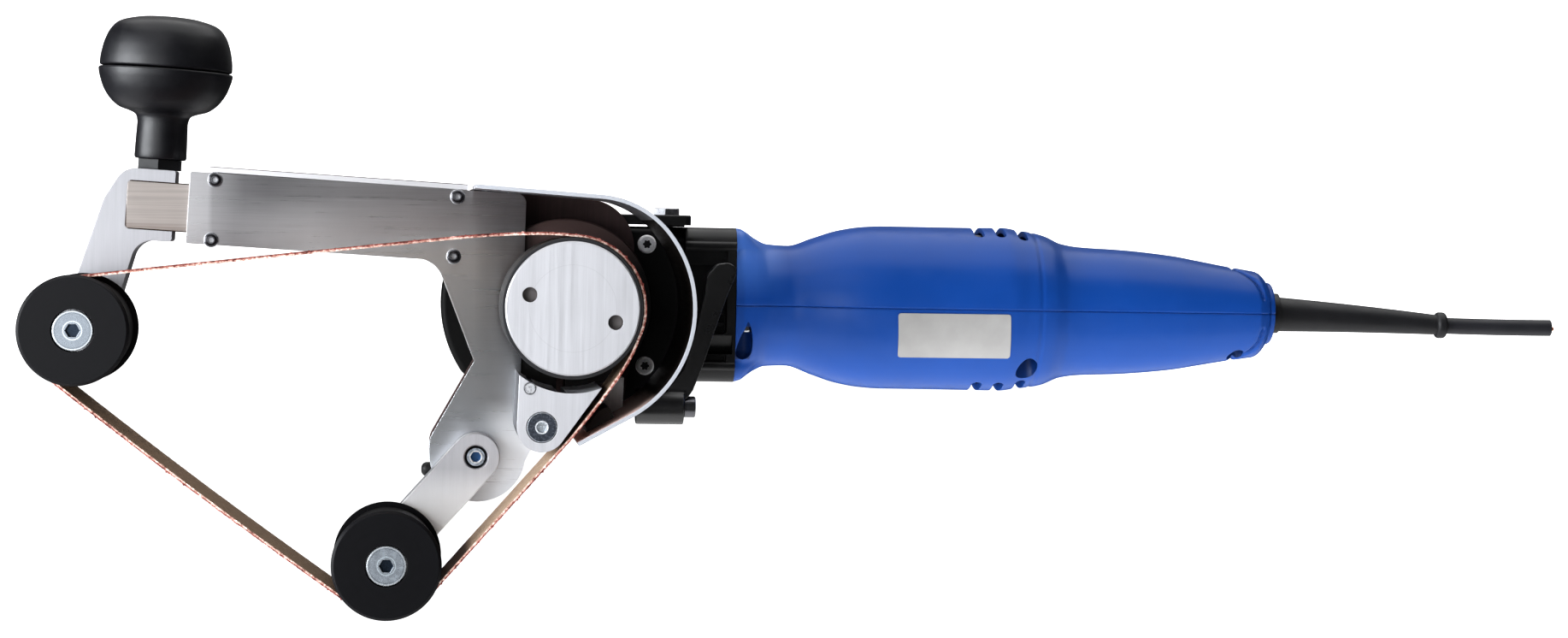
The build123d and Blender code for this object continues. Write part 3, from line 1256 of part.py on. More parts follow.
guard_button = button_screw(3.8, 2.2, 2.0, 6.0, 1.45)
guard_flush = csk_screw(2.9, 2.0, 5.6, 1.3)
with BuildPart() as guard_screws:
    with Locations(guard_screw_plane.location):
        add(guard_button)
    with Locations(*[q.offset(-0.04).location for q in seat_planes]):
        add(guard_flush)
guard_screws.part.label = "guard_screws"
export_step(guard_screws.part, "parts/guard_screws.step")

with BuildPart() as guard_bracket:
    with BuildSketch(face_at(back_front - 0.05)):
        with BuildLine():
            Polyline((-74.4, -29.7), (-74.8, -41.8), (-79.6, -44.6), (-84.6, -47.3), (-84.6, -41.0), (-80.4, -34.4), (-77.6, -30.2), close=True)
        make_face()
    extrude(amount=28.9)
    # boss that the screw goes into
    with BuildSketch(face_at(-77.0)):
        with BuildLine():
            Polyline((-79.6, -44.6), (-91.0, -50.9), (-91.2, -48.9), (-86.2, -42.0), (-82.6, -40.2), close=True)
        make_face()
    extrude(amount=26.5)
    with BuildSketch(guard_screw_plane):
        Circle(2.02)
    extrude(amount=-9.5, mode=Mode.SUBTRACT)
guard_bracket.part.label = "guard_bracket"
export_step(guard_bracket.part, "parts/guard_bracket.step")
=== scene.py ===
import math
import random

import bmesh
import bpy
from mathutils import Matrix, Vector


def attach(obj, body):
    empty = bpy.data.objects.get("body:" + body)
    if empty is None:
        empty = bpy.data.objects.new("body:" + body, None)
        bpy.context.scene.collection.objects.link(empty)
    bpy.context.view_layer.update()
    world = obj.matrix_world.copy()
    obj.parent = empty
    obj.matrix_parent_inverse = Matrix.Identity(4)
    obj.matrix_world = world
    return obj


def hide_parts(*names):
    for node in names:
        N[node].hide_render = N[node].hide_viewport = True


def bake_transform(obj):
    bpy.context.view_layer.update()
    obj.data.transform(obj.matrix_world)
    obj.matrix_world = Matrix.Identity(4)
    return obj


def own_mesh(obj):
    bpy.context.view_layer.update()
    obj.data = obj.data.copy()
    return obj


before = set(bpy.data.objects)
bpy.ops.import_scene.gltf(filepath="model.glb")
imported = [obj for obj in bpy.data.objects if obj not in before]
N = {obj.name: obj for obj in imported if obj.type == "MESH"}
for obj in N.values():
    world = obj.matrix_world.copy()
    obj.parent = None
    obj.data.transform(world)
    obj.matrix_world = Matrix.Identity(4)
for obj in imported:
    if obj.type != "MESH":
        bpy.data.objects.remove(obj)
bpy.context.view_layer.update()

MM = 0.001
scene = bpy.context.scene


# ---------------------------------------------------------------- small helpers
def lerp(a, b, t):
    return a + (b - a) * t


def smooth(a, b, x):
    t = min(1.0, max(0.0, (x - a) / (b - a)))
    return t * t * (3.0 - 2.0 * t)


def pchip(points):
    """Monotone cubic through (x, y) points."""
    xs = [p[0] for p in points]
    ys = [p[1] for p in points]
    n = len(xs)
    h = [xs[i + 1] - xs[i] for i in range(n - 1)]
    d = [(ys[i + 1] - ys[i]) / h[i] for i in range(n - 1)]
    m = [d[0]] + [0.0] * (n - 2) + [d[-1]]
    for i in range(1, n - 1):
        if d[i - 1] * d[i] > 0:
            w1 = 2 * h[i] + h[i - 1]
            w2 = h[i] + 2 * h[i - 1]
            m[i] = (w1 + w2) / (w1 / d[i - 1] + w2 / d[i])

    def f(x):
        if x <= xs[0]:
            return ys[0]
        if x >= xs[-1]:
            return ys[-1]
        i = max(k for k in range(n - 1) if xs[k] <= x)
        t = (x - xs[i]) / h[i]
        return (
            (1 + 2 * t) * (1 - t) ** 2 * ys[i]
            + t * (1 - t) ** 2 * h[i] * m[i]
            + t * t * (3 - 2 * t) * ys[i + 1]
            + t * t * (t - 1) * h[i] * m[i + 1]
        )

    return f


def shade(obj, angle=35.0):
    """Smooth shading with the edges over an angle kept sharp."""
    bm = bmesh.new()
    bm.from_mesh(obj.data)
    bmesh.ops.recalc_face_normals(bm, faces=bm.faces[:])
    lim = math.radians(angle)
    for f in bm.faces:
        f.smooth = True
    for e in bm.edges:
        if len(e.link_faces) == 2:
            e.smooth = e.calc_face_angle(0.0) < lim
    bm.to_mesh(obj.data)
    bm.free()


def make(name, verts, faces, mats, angle=35.0, face_mats=None):
    """A mesh object from millimetre points."""
    me = bpy.data.meshes.new(name)
    me.from_pydata([(v[0] * MM, v[1] * MM, v[2] * MM) for v in verts], [], faces)
    for m in mats if isinstance(mats, (list, tuple)) else [mats]:
        me.materials.append(m)
    if face_mats:
        for p, i in zip(me.polygons, face_mats):
            p.material_index = i
    obj = bpy.data.objects.new(name, me)
    scene.collection.objects.link(obj)
    shade(obj, angle)
    return obj


def lathe(profile, origin, axis, side, seg=128, closed=False):
    """Points and faces of a profile [(r, h)] turned about an axis, in millimetres."""
    o, a, s = Vector(origin), Vector(axis).normalized(), Vector(side).normalized()
    t = a.cross(s)
    verts, rows = [], []
    for r, h in profile:
        if r < 1e-6:
            rows.append([len(verts)])
            verts.append(tuple(o + a * h))
        else:
            row = []
            for k in range(seg):
                ang = 2 * math.pi * k / seg
                row.append(len(verts))
                verts.append(tuple(o + a * h + (s * math.cos(ang) + t * math.sin(ang)) * r))
            rows.append(row)
    faces = []
    pairs = list(zip(rows, rows[1:])) + ([(rows[-1], rows[0])] if closed else [])
    for p, q in pairs:
        for k in range(seg):
            k2 = (k + 1) % seg
            if len(p) == 1 and len(q) == 1:
                break
            if len(p) == 1:
                faces.append((p[0], q[k2], q[k]))
            elif len(q) == 1:
                faces.append((p[k], p[k2], q[0]))
            else:
                faces.append((p[k], p[k2], q[k2], q[k]))
    return verts, faces


def boolean_cut(obj, cutters):
    """Cuts the cutter meshes out of a mesh and removes the cutters."""
    for c in cutters:
        mod = obj.modifiers.new("cut", "BOOLEAN")
        mod.operation = "DIFFERENCE"
        mod.solver = "EXACT"
        mod.object = c
    dg = bpy.context.evaluated_depsgraph_get()
    me = bpy.data.meshes.new_from_object(obj.evaluated_get(dg))
    obj.modifiers.clear()
    old = obj.data
    obj.data = me
    me.name = obj.name
    bpy.data.meshes.remove(old)
    for c in cutters:
        data = c.data
        bpy.data.objects.remove(c)
        bpy.data.meshes.remove(data)


def prism(name, outline, z0, z1, mat):
    """A closed prism of an XY outline between two heights, in millimetres."""
    n = len(outline)
    verts = [(x, y, z0) for x, y in outline] + [(x, y, z1) for x, y in outline]
    faces = [tuple(reversed(range(n))), tuple(range(n, 2 * n))]
    faces += [(k, (k + 1) % n, n + (k + 1) % n, n + k) for k in range(n)]
    return make(name, verts, faces, mat, 30)


def stadium(cx, cy, wx, wy, seg=10):
    """Outline of a slot wx wide and wy long along Y with rounded ends."""
    r = wx / 2
    pts = []
    for k in range(seg + 1):
        a = math.pi * k / seg
        pts.append((cx + r * math.cos(a), cy + wy / 2 - r + r * math.sin(a)))
    for k in range(seg + 1):
        a = math.pi + math.pi * k / seg
        pts.append((cx + r * math.cos(a), cy - wy / 2 + r + r * math.sin(a)))
    return pts


def disc_outline(cx, cy, r, seg=48):
    return [(cx + r * math.cos(2 * math.pi * k / seg), cy + r * math.sin(2 * math.pi * k / seg)) for k in range(seg)]


# ---------------------------------------------------------------- materials
class Mat:
    """Principled material with a few node helpers; textures use object coordinates in metres."""

    def __init__(self, name, metallic=0.0, rough=0.5, spec=0.5, base=(0.5, 0.5, 0.5)):
        self.m = bpy.data.materials.new(name)
        self.m.use_nodes = True
        self.nt = self.m.node_tree
        self.nt.nodes.clear()
        out = self.nt.nodes.new("ShaderNodeOutputMaterial")
        self.b = self.nt.nodes.new("ShaderNodeBsdfPrincipled")
        self.nt.links.new(self.b.outputs["BSDF"], out.inputs["Surface"])
        self.b.inputs["Metallic"].default_value = metallic
        self.b.inputs["Roughness"].default_value = rough
        self.b.inputs["Specular IOR Level"].default_value = spec
        self.b.inputs["Base Color"].default_value = (*base, 1)
        self.tc = self.nt.nodes.new("ShaderNodeTexCoord")
        self.m.diffuse_color = (*base, 1)

    def coords(self):
        return self.tc.outputs["Object"]

    def mapped(self, scale=(1, 1, 1), rot=(0, 0, 0), loc=(0, 0, 0)):
        n = self.nt.nodes.new("ShaderNodeMapping")
        n.inputs["Scale"].default_value = scale
        n.inputs["Rotation"].default_value = rot
        n.inputs["Location"].default_value = loc
        self.nt.links.new(self.coords(), n.inputs["Vector"])
        return n.outputs["Vector"]

    def noise(self, vec=None, scale=100.0, detail=3.0, rough=0.55, w=None):
        n = self.nt.nodes.new("ShaderNodeTexNoise")
        n.inputs["Scale"].default_value = scale
        n.inputs["Detail"].default_value = detail
        n.inputs["Roughness"].default_value = rough
        if w is not None:
            n.noise_dimensions = "1D"
            self.nt.links.new(w, n.inputs["W"])
        else:
            self.nt.links.new(vec if vec is not None else self.coords(), n.inputs["Vector"])
        return n.outputs["Fac"]

    def voronoi(self, vec=None, scale=100.0, feature="F1", out="Distance"):
        n = self.nt.nodes.new("ShaderNodeTexVoronoi")
        n.feature = feature
        n.inputs["Scale"].default_value = scale
        self.nt.links.new(vec if vec is not None else self.coords(), n.inputs["Vector"])
        return n.outputs[out]

    def ramp(self, fac, stops, interp="LINEAR"):
        n = self.nt.nodes.new("ShaderNodeValToRGB")
        n.color_ramp.interpolation = interp
        el = n.color_ramp.elements
        while len(el) < len(stops):
            el.new(0.5)
        for e, (p, c) in zip(el, stops):
            e.position = p
            e.color = (c, c, c, 1) if isinstance(c, (int, float)) else (*c, 1)
        self.nt.links.new(fac, n.inputs["Fac"])
        return n.outputs["Color"]

    def span(self, fac, a, b, c, d):
        """Maps a..b to c..d."""
        n = self.nt.nodes.new("ShaderNodeMapRange")
        for k, v in zip(("From Min", "From Max", "To Min", "To Max"), (a, b, c, d)):
            n.inputs[k].default_value = v
        self.nt.links.new(fac, n.inputs["Value"])
        return n.outputs["Result"]

    def math(self, op, a, b=None):
        n = self.nt.nodes.new("ShaderNodeMath")
        n.operation = op
        for i, v in enumerate((a, b)):
            if v is None:
                continue
            if isinstance(v, (int, float)):
                n.inputs[i].default_value = v
            else:
                self.nt.links.new(v, n.inputs[i])
        return n.outputs["Value"]

    def mix(self, fac, a, b, blend="MIX"):
        n = self.nt.nodes.new("ShaderNodeMix")
        n.data_type = "RGBA"
        n.blend_type = blend
        sockets = {"Factor": n.inputs[0], "A": n.inputs[6], "B": n.inputs[7]}
        for key, v in (("Factor", fac), ("A", a), ("B", b)):
            s = sockets[key]
            if isinstance(v, (int, float)):
                s.default_value = v if key == "Factor" else (v, v, v, 1)
            elif isinstance(v, tuple):
                s.default_value = (*v, 1)
            else:
                self.nt.links.new(v, s)
        return n.outputs[2]

    def along(self, axis):
        """One object coordinate in metres."""
        n = self.nt.nodes.new("ShaderNodeSeparateXYZ")
        self.nt.links.new(self.coords(), n.inputs[0])
        return n.outputs[axis.upper()]

    def recolour(self, mask, colour):
        """Mixes a colour over the base colour where the mask is one."""
        old = self.b.inputs["Base Color"].links[0].from_socket
        self.nt.links.new(self.mix(mask, old, colour), self.b.inputs["Base Color"])
        return self

    def facing_in(self, centre):
        """One where a face looks towards a line along Y through a centre in metres."""
        g = self.nt.nodes.new("ShaderNodeNewGeometry")
        v = self.nt.nodes.new("ShaderNodeVectorMath")
        v.operation = "SUBTRACT"
        v.inputs[1].default_value = centre
        self.nt.links.new(self.coords(), v.inputs[0])
        m = self.nt.nodes.new("ShaderNodeVectorMath")
        m.operation = "MULTIPLY"
        m.inputs[1].default_value = (1, 0, 1)
        self.nt.links.new(v.outputs[0], m.inputs[0])
        d = self.nt.nodes.new("ShaderNodeVectorMath")
        d.operation = "DOT_PRODUCT"
        self.nt.links.new(m.outputs[0], d.inputs[0])
        self.nt.links.new(g.outputs["Normal"], d.inputs[1])
        return self.math("LESS_THAN", d.outputs["Value"], -0.002)

    def facing(self, way, limit):
        """One where a face looks along a direction."""
        g = self.nt.nodes.new("ShaderNodeNewGeometry")
        d = self.nt.nodes.new("ShaderNodeVectorMath")
        d.operation = "DOT_PRODUCT"
        d.inputs[1].default_value = way
        self.nt.links.new(g.outputs["Normal"], d.inputs[0])
        return self.math("GREATER_THAN", d.outputs["Value"], limit)

    def axis_radius(self, centre, axis):
        """Distance from a line along Y (axis 'y') or X ('x') through a centre in metres."""
        s = self.nt.nodes.new("ShaderNodeVectorMath")
        s.operation = "SUBTRACT"
        s.inputs[1].default_value = centre
        self.nt.links.new(self.coords(), s.inputs[0])
        m = self.nt.nodes.new("ShaderNodeVectorMath")
        m.operation = "MULTIPLY"
        m.inputs[1].default_value = {"y": (1, 0, 1), "x": (0, 1, 1), "z": (1, 1, 0)}[axis]
        self.nt.links.new(s.outputs[0], m.inputs[0])
        ln = self.nt.nodes.new("ShaderNodeVectorMath")
        ln.operation = "LENGTH"
        self.nt.links.new(m.outputs[0], ln.inputs[0])
        return ln.outputs["Value"]

    def bump(self, height, strength=0.2, dist=0.0002, normal=None):
        n = self.nt.nodes.new("ShaderNodeBump")
        n.inputs["Strength"].default_value = strength
        n.inputs["Distance"].default_value = dist
        self.nt.links.new(height, n.inputs["Height"])
        if normal is not None:
            self.nt.links.new(normal, n.inputs["Normal"])
        return n.outputs["Normal"]

    def edge(self, radius=0.0004, samples=4):
        n = self.nt.nodes.new("ShaderNodeBevel")
        n.samples = samples
        n.inputs["Radius"].default_value = radius
        return n.outputs["Normal"]

    def tangent(self, axis):
        n = self.nt.nodes.new("ShaderNodeTangent")
        n.direction_type = "RADIAL"
        n.axis = axis
        return n.outputs["Tangent"]

    def set(self, **kw):
        names = {"color": "Base Color", "rough": "Roughness", "normal": "Normal", "metal": "Metallic"}
        for k, v in kw.items():
            self.nt.links.new(v, self.b.inputs[names[k]])
        return self


def islands(obj):
    """Centres (x, z) and front (lowest y) of the separate solids of a node, in metres."""
    bm = bmesh.new()
    bm.from_mesh(obj.data)
    bmesh.ops.remove_doubles(bm, verts=bm.verts[:], dist=1e-6)
    bm.verts.index_update()
    seen, out = set(), []
    for v in bm.verts:
        if v.index in seen:
            continue
        stack, part = [v], []
        seen.add(v.index)
        while stack:
            q = stack.pop()
            part.append(q.co.copy())
            for e in q.link_edges:
                o = e.other_vert(q)
                if o.index not in seen:
                    seen.add(o.index)
                    stack.append(o)
        xs, ys, zs = zip(*part)
        out.append(((min(xs) + max(xs)) / 2, min(ys), (min(zs) + max(zs)) / 2))
    bm.free()
    return out


def screw_face(name, node, colour, rings, socket, socket_colour, rough=0.24, metal=0.75, mottle=700.0, spread=0.2, depth=0.00045):
    """Screw heads along Y: painted highlight and shade rings by distance from each axis, and painted light in the
    socket where the face is sunk.
    """
    k = plated(name, colour, rough, spread, metal, mottle)
    spots = islands(N[node])
    r = None
    for x, y, z in spots:
        q = k.axis_radius((x, 0.0, z), "y")
        r = q if r is None else k.math("MINIMUM", r, q)
    for r0, r1, c in rings:
        k.recolour(k.math("MULTIPLY", k.math("GREATER_THAN", r, r0), k.math("LESS_THAN", r, r1)), c)
    front = min(y for x, y, z in spots)
    sunk = k.math("MULTIPLY", k.math("GREATER_THAN", k.along("y"), front + depth), k.math("LESS_THAN", r, socket))
    k.recolour(sunk, socket_colour)
    return k.m


def rgb(r, g, b):
    """sRGB 0-255 to linear."""
    def f(c):
        c /= 255.0
        return c / 12.92 if c <= 0.04045 else ((c + 0.055) / 1.055) ** 2.4
    return (f(r), f(g), f(b))


def scaled(c, k):
    return tuple(min(1.0, v * k) for v in c)


def moulded(name, colour, rough=0.45, grain=1800.0, bump=0.12, spread=0.12, spec=0.5, edge=0.0004, rspread=0.06):
    """Moulded plastic or rubber: fine grain, soft colour drift, uneven gloss."""
    k = Mat(name, 0.0, rough, spec, colour)
    drift = k.noise(scale=35.0, detail=4.0)
    k.set(color=k.ramp(drift, [(0.3, scaled(colour, 1 - spread)), (0.7, scaled(colour, 1 + spread))]))
    fine = k.noise(scale=grain, detail=2.0)
    gloss = k.noise(scale=140.0, detail=3.0)
    k.set(rough=k.span(gloss, 0.25, 0.75, rough - rspread, rough + rspread))
    k.set(normal=k.bump(fine, bump, 0.00006, k.edge(edge) if edge else None))
    return k


def brushed(name, colour, along="x", rough=0.36, metal=1.0, tilt=0.0, fine=2600.0, long=22.0, contrast=0.16,
            bump=0.1, spec=0.5, edge=0.0003, aniso=0.0, spread="Z"):
    """Ground or brushed metal with streaks along one axis; the gloss spreads across them."""
    k = Mat(name, metal, rough, spec, colour)
    if aniso:
        k.b.inputs["Anisotropic"].default_value = aniso
        k.nt.links.new(k.tangent("X" if spread == "Z" else "Z"), k.b.inputs["Tangent"])
    s1 = {"x": (long, fine, fine), "y": (fine, long, fine), "z": (fine, fine, long)}[along]
    s2 = tuple(v * 0.28 for v in s1)
    rot = (0, tilt, 0)
    a = k.noise(k.mapped(s1, rot), 1.0, 4.0, 0.6)
    b = k.noise(k.mapped(s2, rot, (3, 5, 7)), 1.0, 3.0, 0.6)
    streak = k.math("ADD", k.math("MULTIPLY", a, 0.6), k.math("MULTIPLY", b, 0.4))
    drift = k.noise(scale=28.0, detail=3.0)
    tone = k.math("ADD", k.math("MULTIPLY", streak, 0.8), k.math("MULTIPLY", drift, 0.2))
    k.set(color=k.ramp(tone, [(0.32, scaled(colour, 1 - contrast)), (0.68, scaled(colour, 1 + contrast))]))
    k.set(rough=k.span(streak, 0.3, 0.7, rough - 0.07, rough + 0.09))
    k.set(normal=k.bump(streak, bump, 0.00004, k.edge(edge) if edge else None))
    return k


def turned(name, colour, centre, axis="y", rough=0.34, metal=1.0, rings=2300.0, contrast=0.12, bump=0.12, spec=0.5,
           edge=0.0003, grain=0.0):
    """Turned part: fine rings round its axis."""
    k = Mat(name, metal, rough, spec, colour)
    r = k.axis_radius(centre, axis)
    ring = k.noise(scale=rings, detail=3.0, rough=0.6, w=r)
    broad = k.noise(scale=rings * 0.16, detail=2.0, rough=0.5, w=r)
    spot = k.noise(scale=260.0, detail=4.0)
    tone = k.math("ADD", k.math("MULTIPLY", ring, 0.45), k.math("ADD", k.math("MULTIPLY", broad, 0.25), k.math("MULTIPLY", spot, 0.3)))
    k.set(color=k.ramp(tone, [(0.3, scaled(colour, 1 - contrast)), (0.7, scaled(colour, 1 + contrast))]))
    k.set(rough=k.span(tone, 0.3, 0.7, rough - 0.06, rough + 0.08))
    h = ring
    if grain:
        h = k.math("ADD", ring, k.math("MULTIPLY", k.noise(scale=grain, detail=2.0), 0.6))
    k.set(normal=k.bump(h, bump, 0.00004, k.edge(edge) if edge else None))
    return k


def cast(name, colour, rough=0.42, grain=900.0, bump=0.25, spread=0.25, metal=0.0, spec=0.5, edge=0.0005):
    """Painted or blackened casting: orange-peel grain and gloss rubbed uneven."""
    k = Mat(name, metal, rough, spec, colour)
    a = k.noise(scale=grain, detail=4.0, rough=0.6)
    b = k.noise(scale=60.0, detail=4.0)
    k.set(color=k.ramp(b, [(0.3, scaled(colour, 1 - spread)), (0.72, scaled(colour, 1 + spread))]))
    k.set(rough=k.span(b, 0.25, 0.75, rough - 0.08, rough + 0.1))
    k.set(normal=k.bump(a, bump, 0.00008, k.edge(edge) if edge else None))
    return k


def plated(name, colour, rough=0.22, spread=0.12, metal=1.0, mottle=420.0, edge=0.0003):
    """Zinc plated or polished steel with a faint mottle."""
    k = Mat(name, metal, rough, 0.5, colour)
    a = k.noise(scale=mottle, detail=4.0, rough=0.62)
    b = k.noise(scale=2400.0, detail=2.0)
    k.set(color=k.ramp(a, [(0.3, scaled(colour, 1 - spread)), (0.7, scaled(colour, 1 + spread))]))
    k.set(rough=k.span(a, 0.25, 0.75, rough - 0.06, rough + 0.1))
    k.set(normal=k.bump(b, 0.08, 0.00004, k.edge(edge) if edge else None))
    return k


TILT = math.radians(2.8)
S_AXIS = (-0.0986, 0.0, 0.0)
FRONT_AXIS = (-0.2949, 0.0, -0.0120)
LOWER_AXIS = (-0.17095, 0.0, -0.1037)

BLUE = (0.0085, 0.067, 0.305)
k_blue = moulded("housing_blue_abs", BLUE, rough=0.34, grain=2200.0, bump=0.05, spread=0.05, spec=0.3, edge=0.0005)
# Painted shade: the screw bores of the lower shell are darkened inside.
hole_y = k_blue.math("ABSOLUTE", k_blue.along("y"))
for hx, hy, hr, low in ((-0.0197, 0.0269, 0.0040, -0.0232), (0.1058, 0.0232, 0.0047, -0.05), (0.2030, 0.0090, 0.0039, -0.05)):
    dx, dy = k_blue.math("SUBTRACT", k_blue.along("x"), hx), k_blue.math("SUBTRACT", hole_y, hy)
    d2 = k_blue.math("ADD", k_blue.math("MULTIPLY", dx, dx), k_blue.math("MULTIPLY", dy, dy))
    bored = k_blue.math("MULTIPLY", k_blue.math("LESS_THAN", d2, (hr * 1.004) ** 2), k_blue.math("LESS_THAN", k_blue.along("z"), -0.0005))
    bored = k_blue.math("MULTIPLY", bored, k_blue.math("GREATER_THAN", k_blue.along("z"), low))
    k_blue.recolour(k_blue.math("MULTIPLY", bored, 0.85), scaled(BLUE, 0.3))
# Painted highlight: the upper side of the housing's front flare is lightened.
flare = k_blue.math("MULTIPLY", k_blue.span(k_blue.along("x"), 0.0005, -0.0145, 0.0, 1.0), k_blue.span(k_blue.along("z"), 0.003, 0.021, 0.0, 0.56))
k_blue.recolour(flare, rgb(104, 150, 236))
m_blue = k_blue.m
m_knob = moulded("knob_black_grained", (0.0056, 0.0056, 0.0076), rough=0.42, grain=1500.0, bump=0.4, spread=0.2, spec=0.45, edge=0.0004).m
m_black = moulded("black_nylon", (0.008, 0.008, 0.009), rough=0.5, grain=1700.0, bump=0.25, spread=0.2).m
m_rubber = moulded("black_rubber_soft", (0.012, 0.012, 0.014), rough=0.5, grain=1400.0, bump=0.2, spread=0.18).m
m_tyre = turned("tyre_rubber", (0.016, 0.016, 0.018), S_AXIS, "y", 0.55, 0.0, 900.0, 0.25, 0.2).m
m_cord = moulded("cord_jacket", (0.02, 0.02, 0.025), rough=0.5, grain=1300.0, bump=0.2, spread=0.15, edge=0).m
m_head = cast("head_black_paint", (0.009, 0.009, 0.010), rough=0.36, grain=1100.0, bump=0.2, spec=0.42).m
m_lever = cast("lever_black_paint", (0.010, 0.010, 0.011), rough=0.31, grain=900.0, bump=0.14, spec=1.0).m
m_disc = cast("disc_black", (0.002, 0.002, 0.0022), rough=0.5, grain=1300.0, bump=0.12, spec=0.25).m
m_bracket = cast("bracket_black_sheet", (0.006, 0.006, 0.0065), rough=0.38, grain=1500.0, bump=0.08).m
# Painted reflection and shade: the plate is a flat, hardly metallic dark brown in place of the belt mirrored in it in
# the guard's shadow.
m_back = brushed("back_plate_dark", rgb(86, 70, 69), "z", 0.62, 0.08, 0.0, 2200.0, 40.0, 0.22, 0.06, spec=0.3).m
k_cover = brushed("cover_brushed_steel", rgb(190, 190, 193), "x", 0.31, 1.0, 0.0, 2500.0, 34.0, 0.13, 0.04, aniso=0.88, spread="Z")
cover_x, cover_z = k_cover.along("x"), k_cover.along("z")
shaded = k_cover.math("MULTIPLY", k_cover.span(cover_x, -0.2465, -0.2320, 0.0, 0.63), k_cover.span(cover_x, -0.2220, -0.1920, 1.0, 0.0))
k_cover.recolour(k_cover.math("MULTIPLY", shaded, k_cover.span(cover_z, 0.028, 0.045, 0.25, 1.0)), rgb(120, 120, 123))
lit = k_cover.math("MULTIPLY", k_cover.span(cover_x, -0.2360, -0.2050, 0.0, 1.0), k_cover.span(cover_x, -0.1370, -0.1250, 1.0, 0.0))
k_cover.recolour(k_cover.math("MULTIPLY", lit, k_cover.span(cover_z, 0.0435, 0.0265, 0.0, 0.85)), rgb(252, 253, 255))
# Painted highlight: a bright band along the cover's left edge.
k_cover.recolour(k_cover.span(cover_x, -0.2448, -0.2468, 0.0, 0.3), rgb(252, 252, 255))
# Painted light: the leg is lightened and tinted bluish towards the bottom, and made less metallic at its lower right
# beside the arm, so that colour reads lit.
k_cover.recolour(k_cover.span(cover_z, -0.005, -0.036, 0.0, 0.9), rgb(246, 250, 255))
matte_lower_leg = k_cover.math("MULTIPLY", k_cover.span(cover_z, -0.040, -0.056, 0.0, 0.6), k_cover.span(cover_x, -0.1370, -0.1240, 0.0, 1.0))
k_cover.set(metal=k_cover.math("SUBTRACT", 1.0, matte_lower_leg))
m_cover = k_cover.m
k_bar = brushed("slide_bar_steel", rgb(178, 171, 167), "x", 0.42, 1.0, TILT, 1900.0, 14.0, 0.24, 0.18, aniso=0.3, spread="Z")
bar_w = k_bar.math("ADD", k_bar.math("MULTIPLY", k_bar.math("ADD", k_bar.along("x"), 0.245), math.sin(TILT)),
                   k_bar.math("MULTIPLY", k_bar.math("SUBTRACT", k_bar.along("z"), 0.03665), math.cos(TILT)))
bar_end = min(v.co.x for v in N["slide_bar"].data.vertices)
# Mottled brown, darker towards the bar's lower edge.
low_edge_tone = k_bar.math("MULTIPLY", k_bar.span(bar_w, -0.0062, -0.0088, 0.0, 0.6), k_bar.noise(k_bar.mapped((30, 900, 900), (0, TILT, 0)), 1.0, 3.0))
k_bar.recolour(low_edge_tone, rgb(96, 74, 58))
# Painted shade: thin dark lines along the bar's long edges and at its end, in the gaps round it.
k_bar.recolour(k_bar.math("GREATER_THAN", k_bar.math("ABSOLUTE", bar_w), 0.00958), rgb(60, 50, 44))
k_bar.recolour(k_bar.math("LESS_THAN", k_bar.along("x"), bar_end + 0.00042), rgb(60, 50, 44))
m_bar = k_bar.m
m_arm = brushed("arm_aluminium", rgb(176, 176, 180), "z", 0.42, 1.0, 0.0, 2500.0, 60.0, 0.09, 0.08, aniso=0.4, spread="X").m
k_arm_low = brushed("lower_arm_aluminium", rgb(174, 174, 178), "z", 0.44, 0.6, 0.0, 2500.0, 60.0, 0.09, 0.08, aniso=0.6, spread="X")
arm_face = k_arm_low.facing((0, -1, 0), 0.5)
# Painted highlight: the arm's front face is lightened to white and made less metallic towards its lower end.
k_arm_low.recolour(k_arm_low.math("MULTIPLY", arm_face, k_arm_low.span(k_arm_low.along("z"), -0.068, -0.092, 0.0, 1.0)), rgb(255, 255, 255))
k_arm_low.set(metal=k_arm_low.math("SUBTRACT", 0.6, k_arm_low.math("MULTIPLY", arm_face, k_arm_low.span(k_arm_low.along("z"), -0.070, -0.092, 0.0, 0.6))))
m_arm_low = k_arm_low.m
k_platen = brushed("platen_aluminium", rgb(204, 204, 208), "z", 0.46, 0.85, 0.0, 2300.0, 45.0, 0.09, 0.1, aniso=0.6, spread="X")
# Painted shade: the faces turned to the left are darkened.
k_platen.recolour(k_platen.facing((-1, 0, 0), 0.55), rgb(92, 92, 96))
m_platen = k_platen.m
k_drum = brushed("drum_face_aluminium", rgb(204, 204, 208), "z", 0.46, 0.85, math.radians(8), 2300.0, 40.0, 0.09, 0.1, aniso=0.6, spread="X")
drum_r = k_drum.axis_radius(S_AXIS, "y")
# Painted shade: the spanner holes are darkened inside.
k_drum.recolour(k_drum.math("MULTIPLY", k_drum.math("GREATER_THAN", k_drum.along("y"), -0.1282), k_drum.math("LESS_THAN", drum_r, 0.0235)), rgb(150, 146, 146))
line = k_drum.math("LESS_THAN", k_drum.math("ABSOLUTE", k_drum.math("SUBTRACT", drum_r, 0.0175)), 0.00012)
k_drum.recolour(k_drum.math("MULTIPLY", line, 0.12), rgb(120, 118, 118))
m_drum = k_drum.m
m_alu = brushed("small_aluminium", rgb(240, 240, 244), "x", 0.4, 0.5, 0.0, 2300.0, 60.0, 0.1, 0.1).m
k_strip = brushed("top_strip_aluminium", rgb(232, 232, 235), "x", 0.38, 0.8, TILT, 2300.0, 20.0, 0.05, 0.06)
strip_w = k_strip.math("ADD", k_strip.math("MULTIPLY", k_strip.math("ADD", k_strip.along("x"), 0.245), math.sin(TILT)),
                       k_strip.math("MULTIPLY", k_strip.math("SUBTRACT", k_strip.along("z"), 0.03665), math.cos(TILT)))
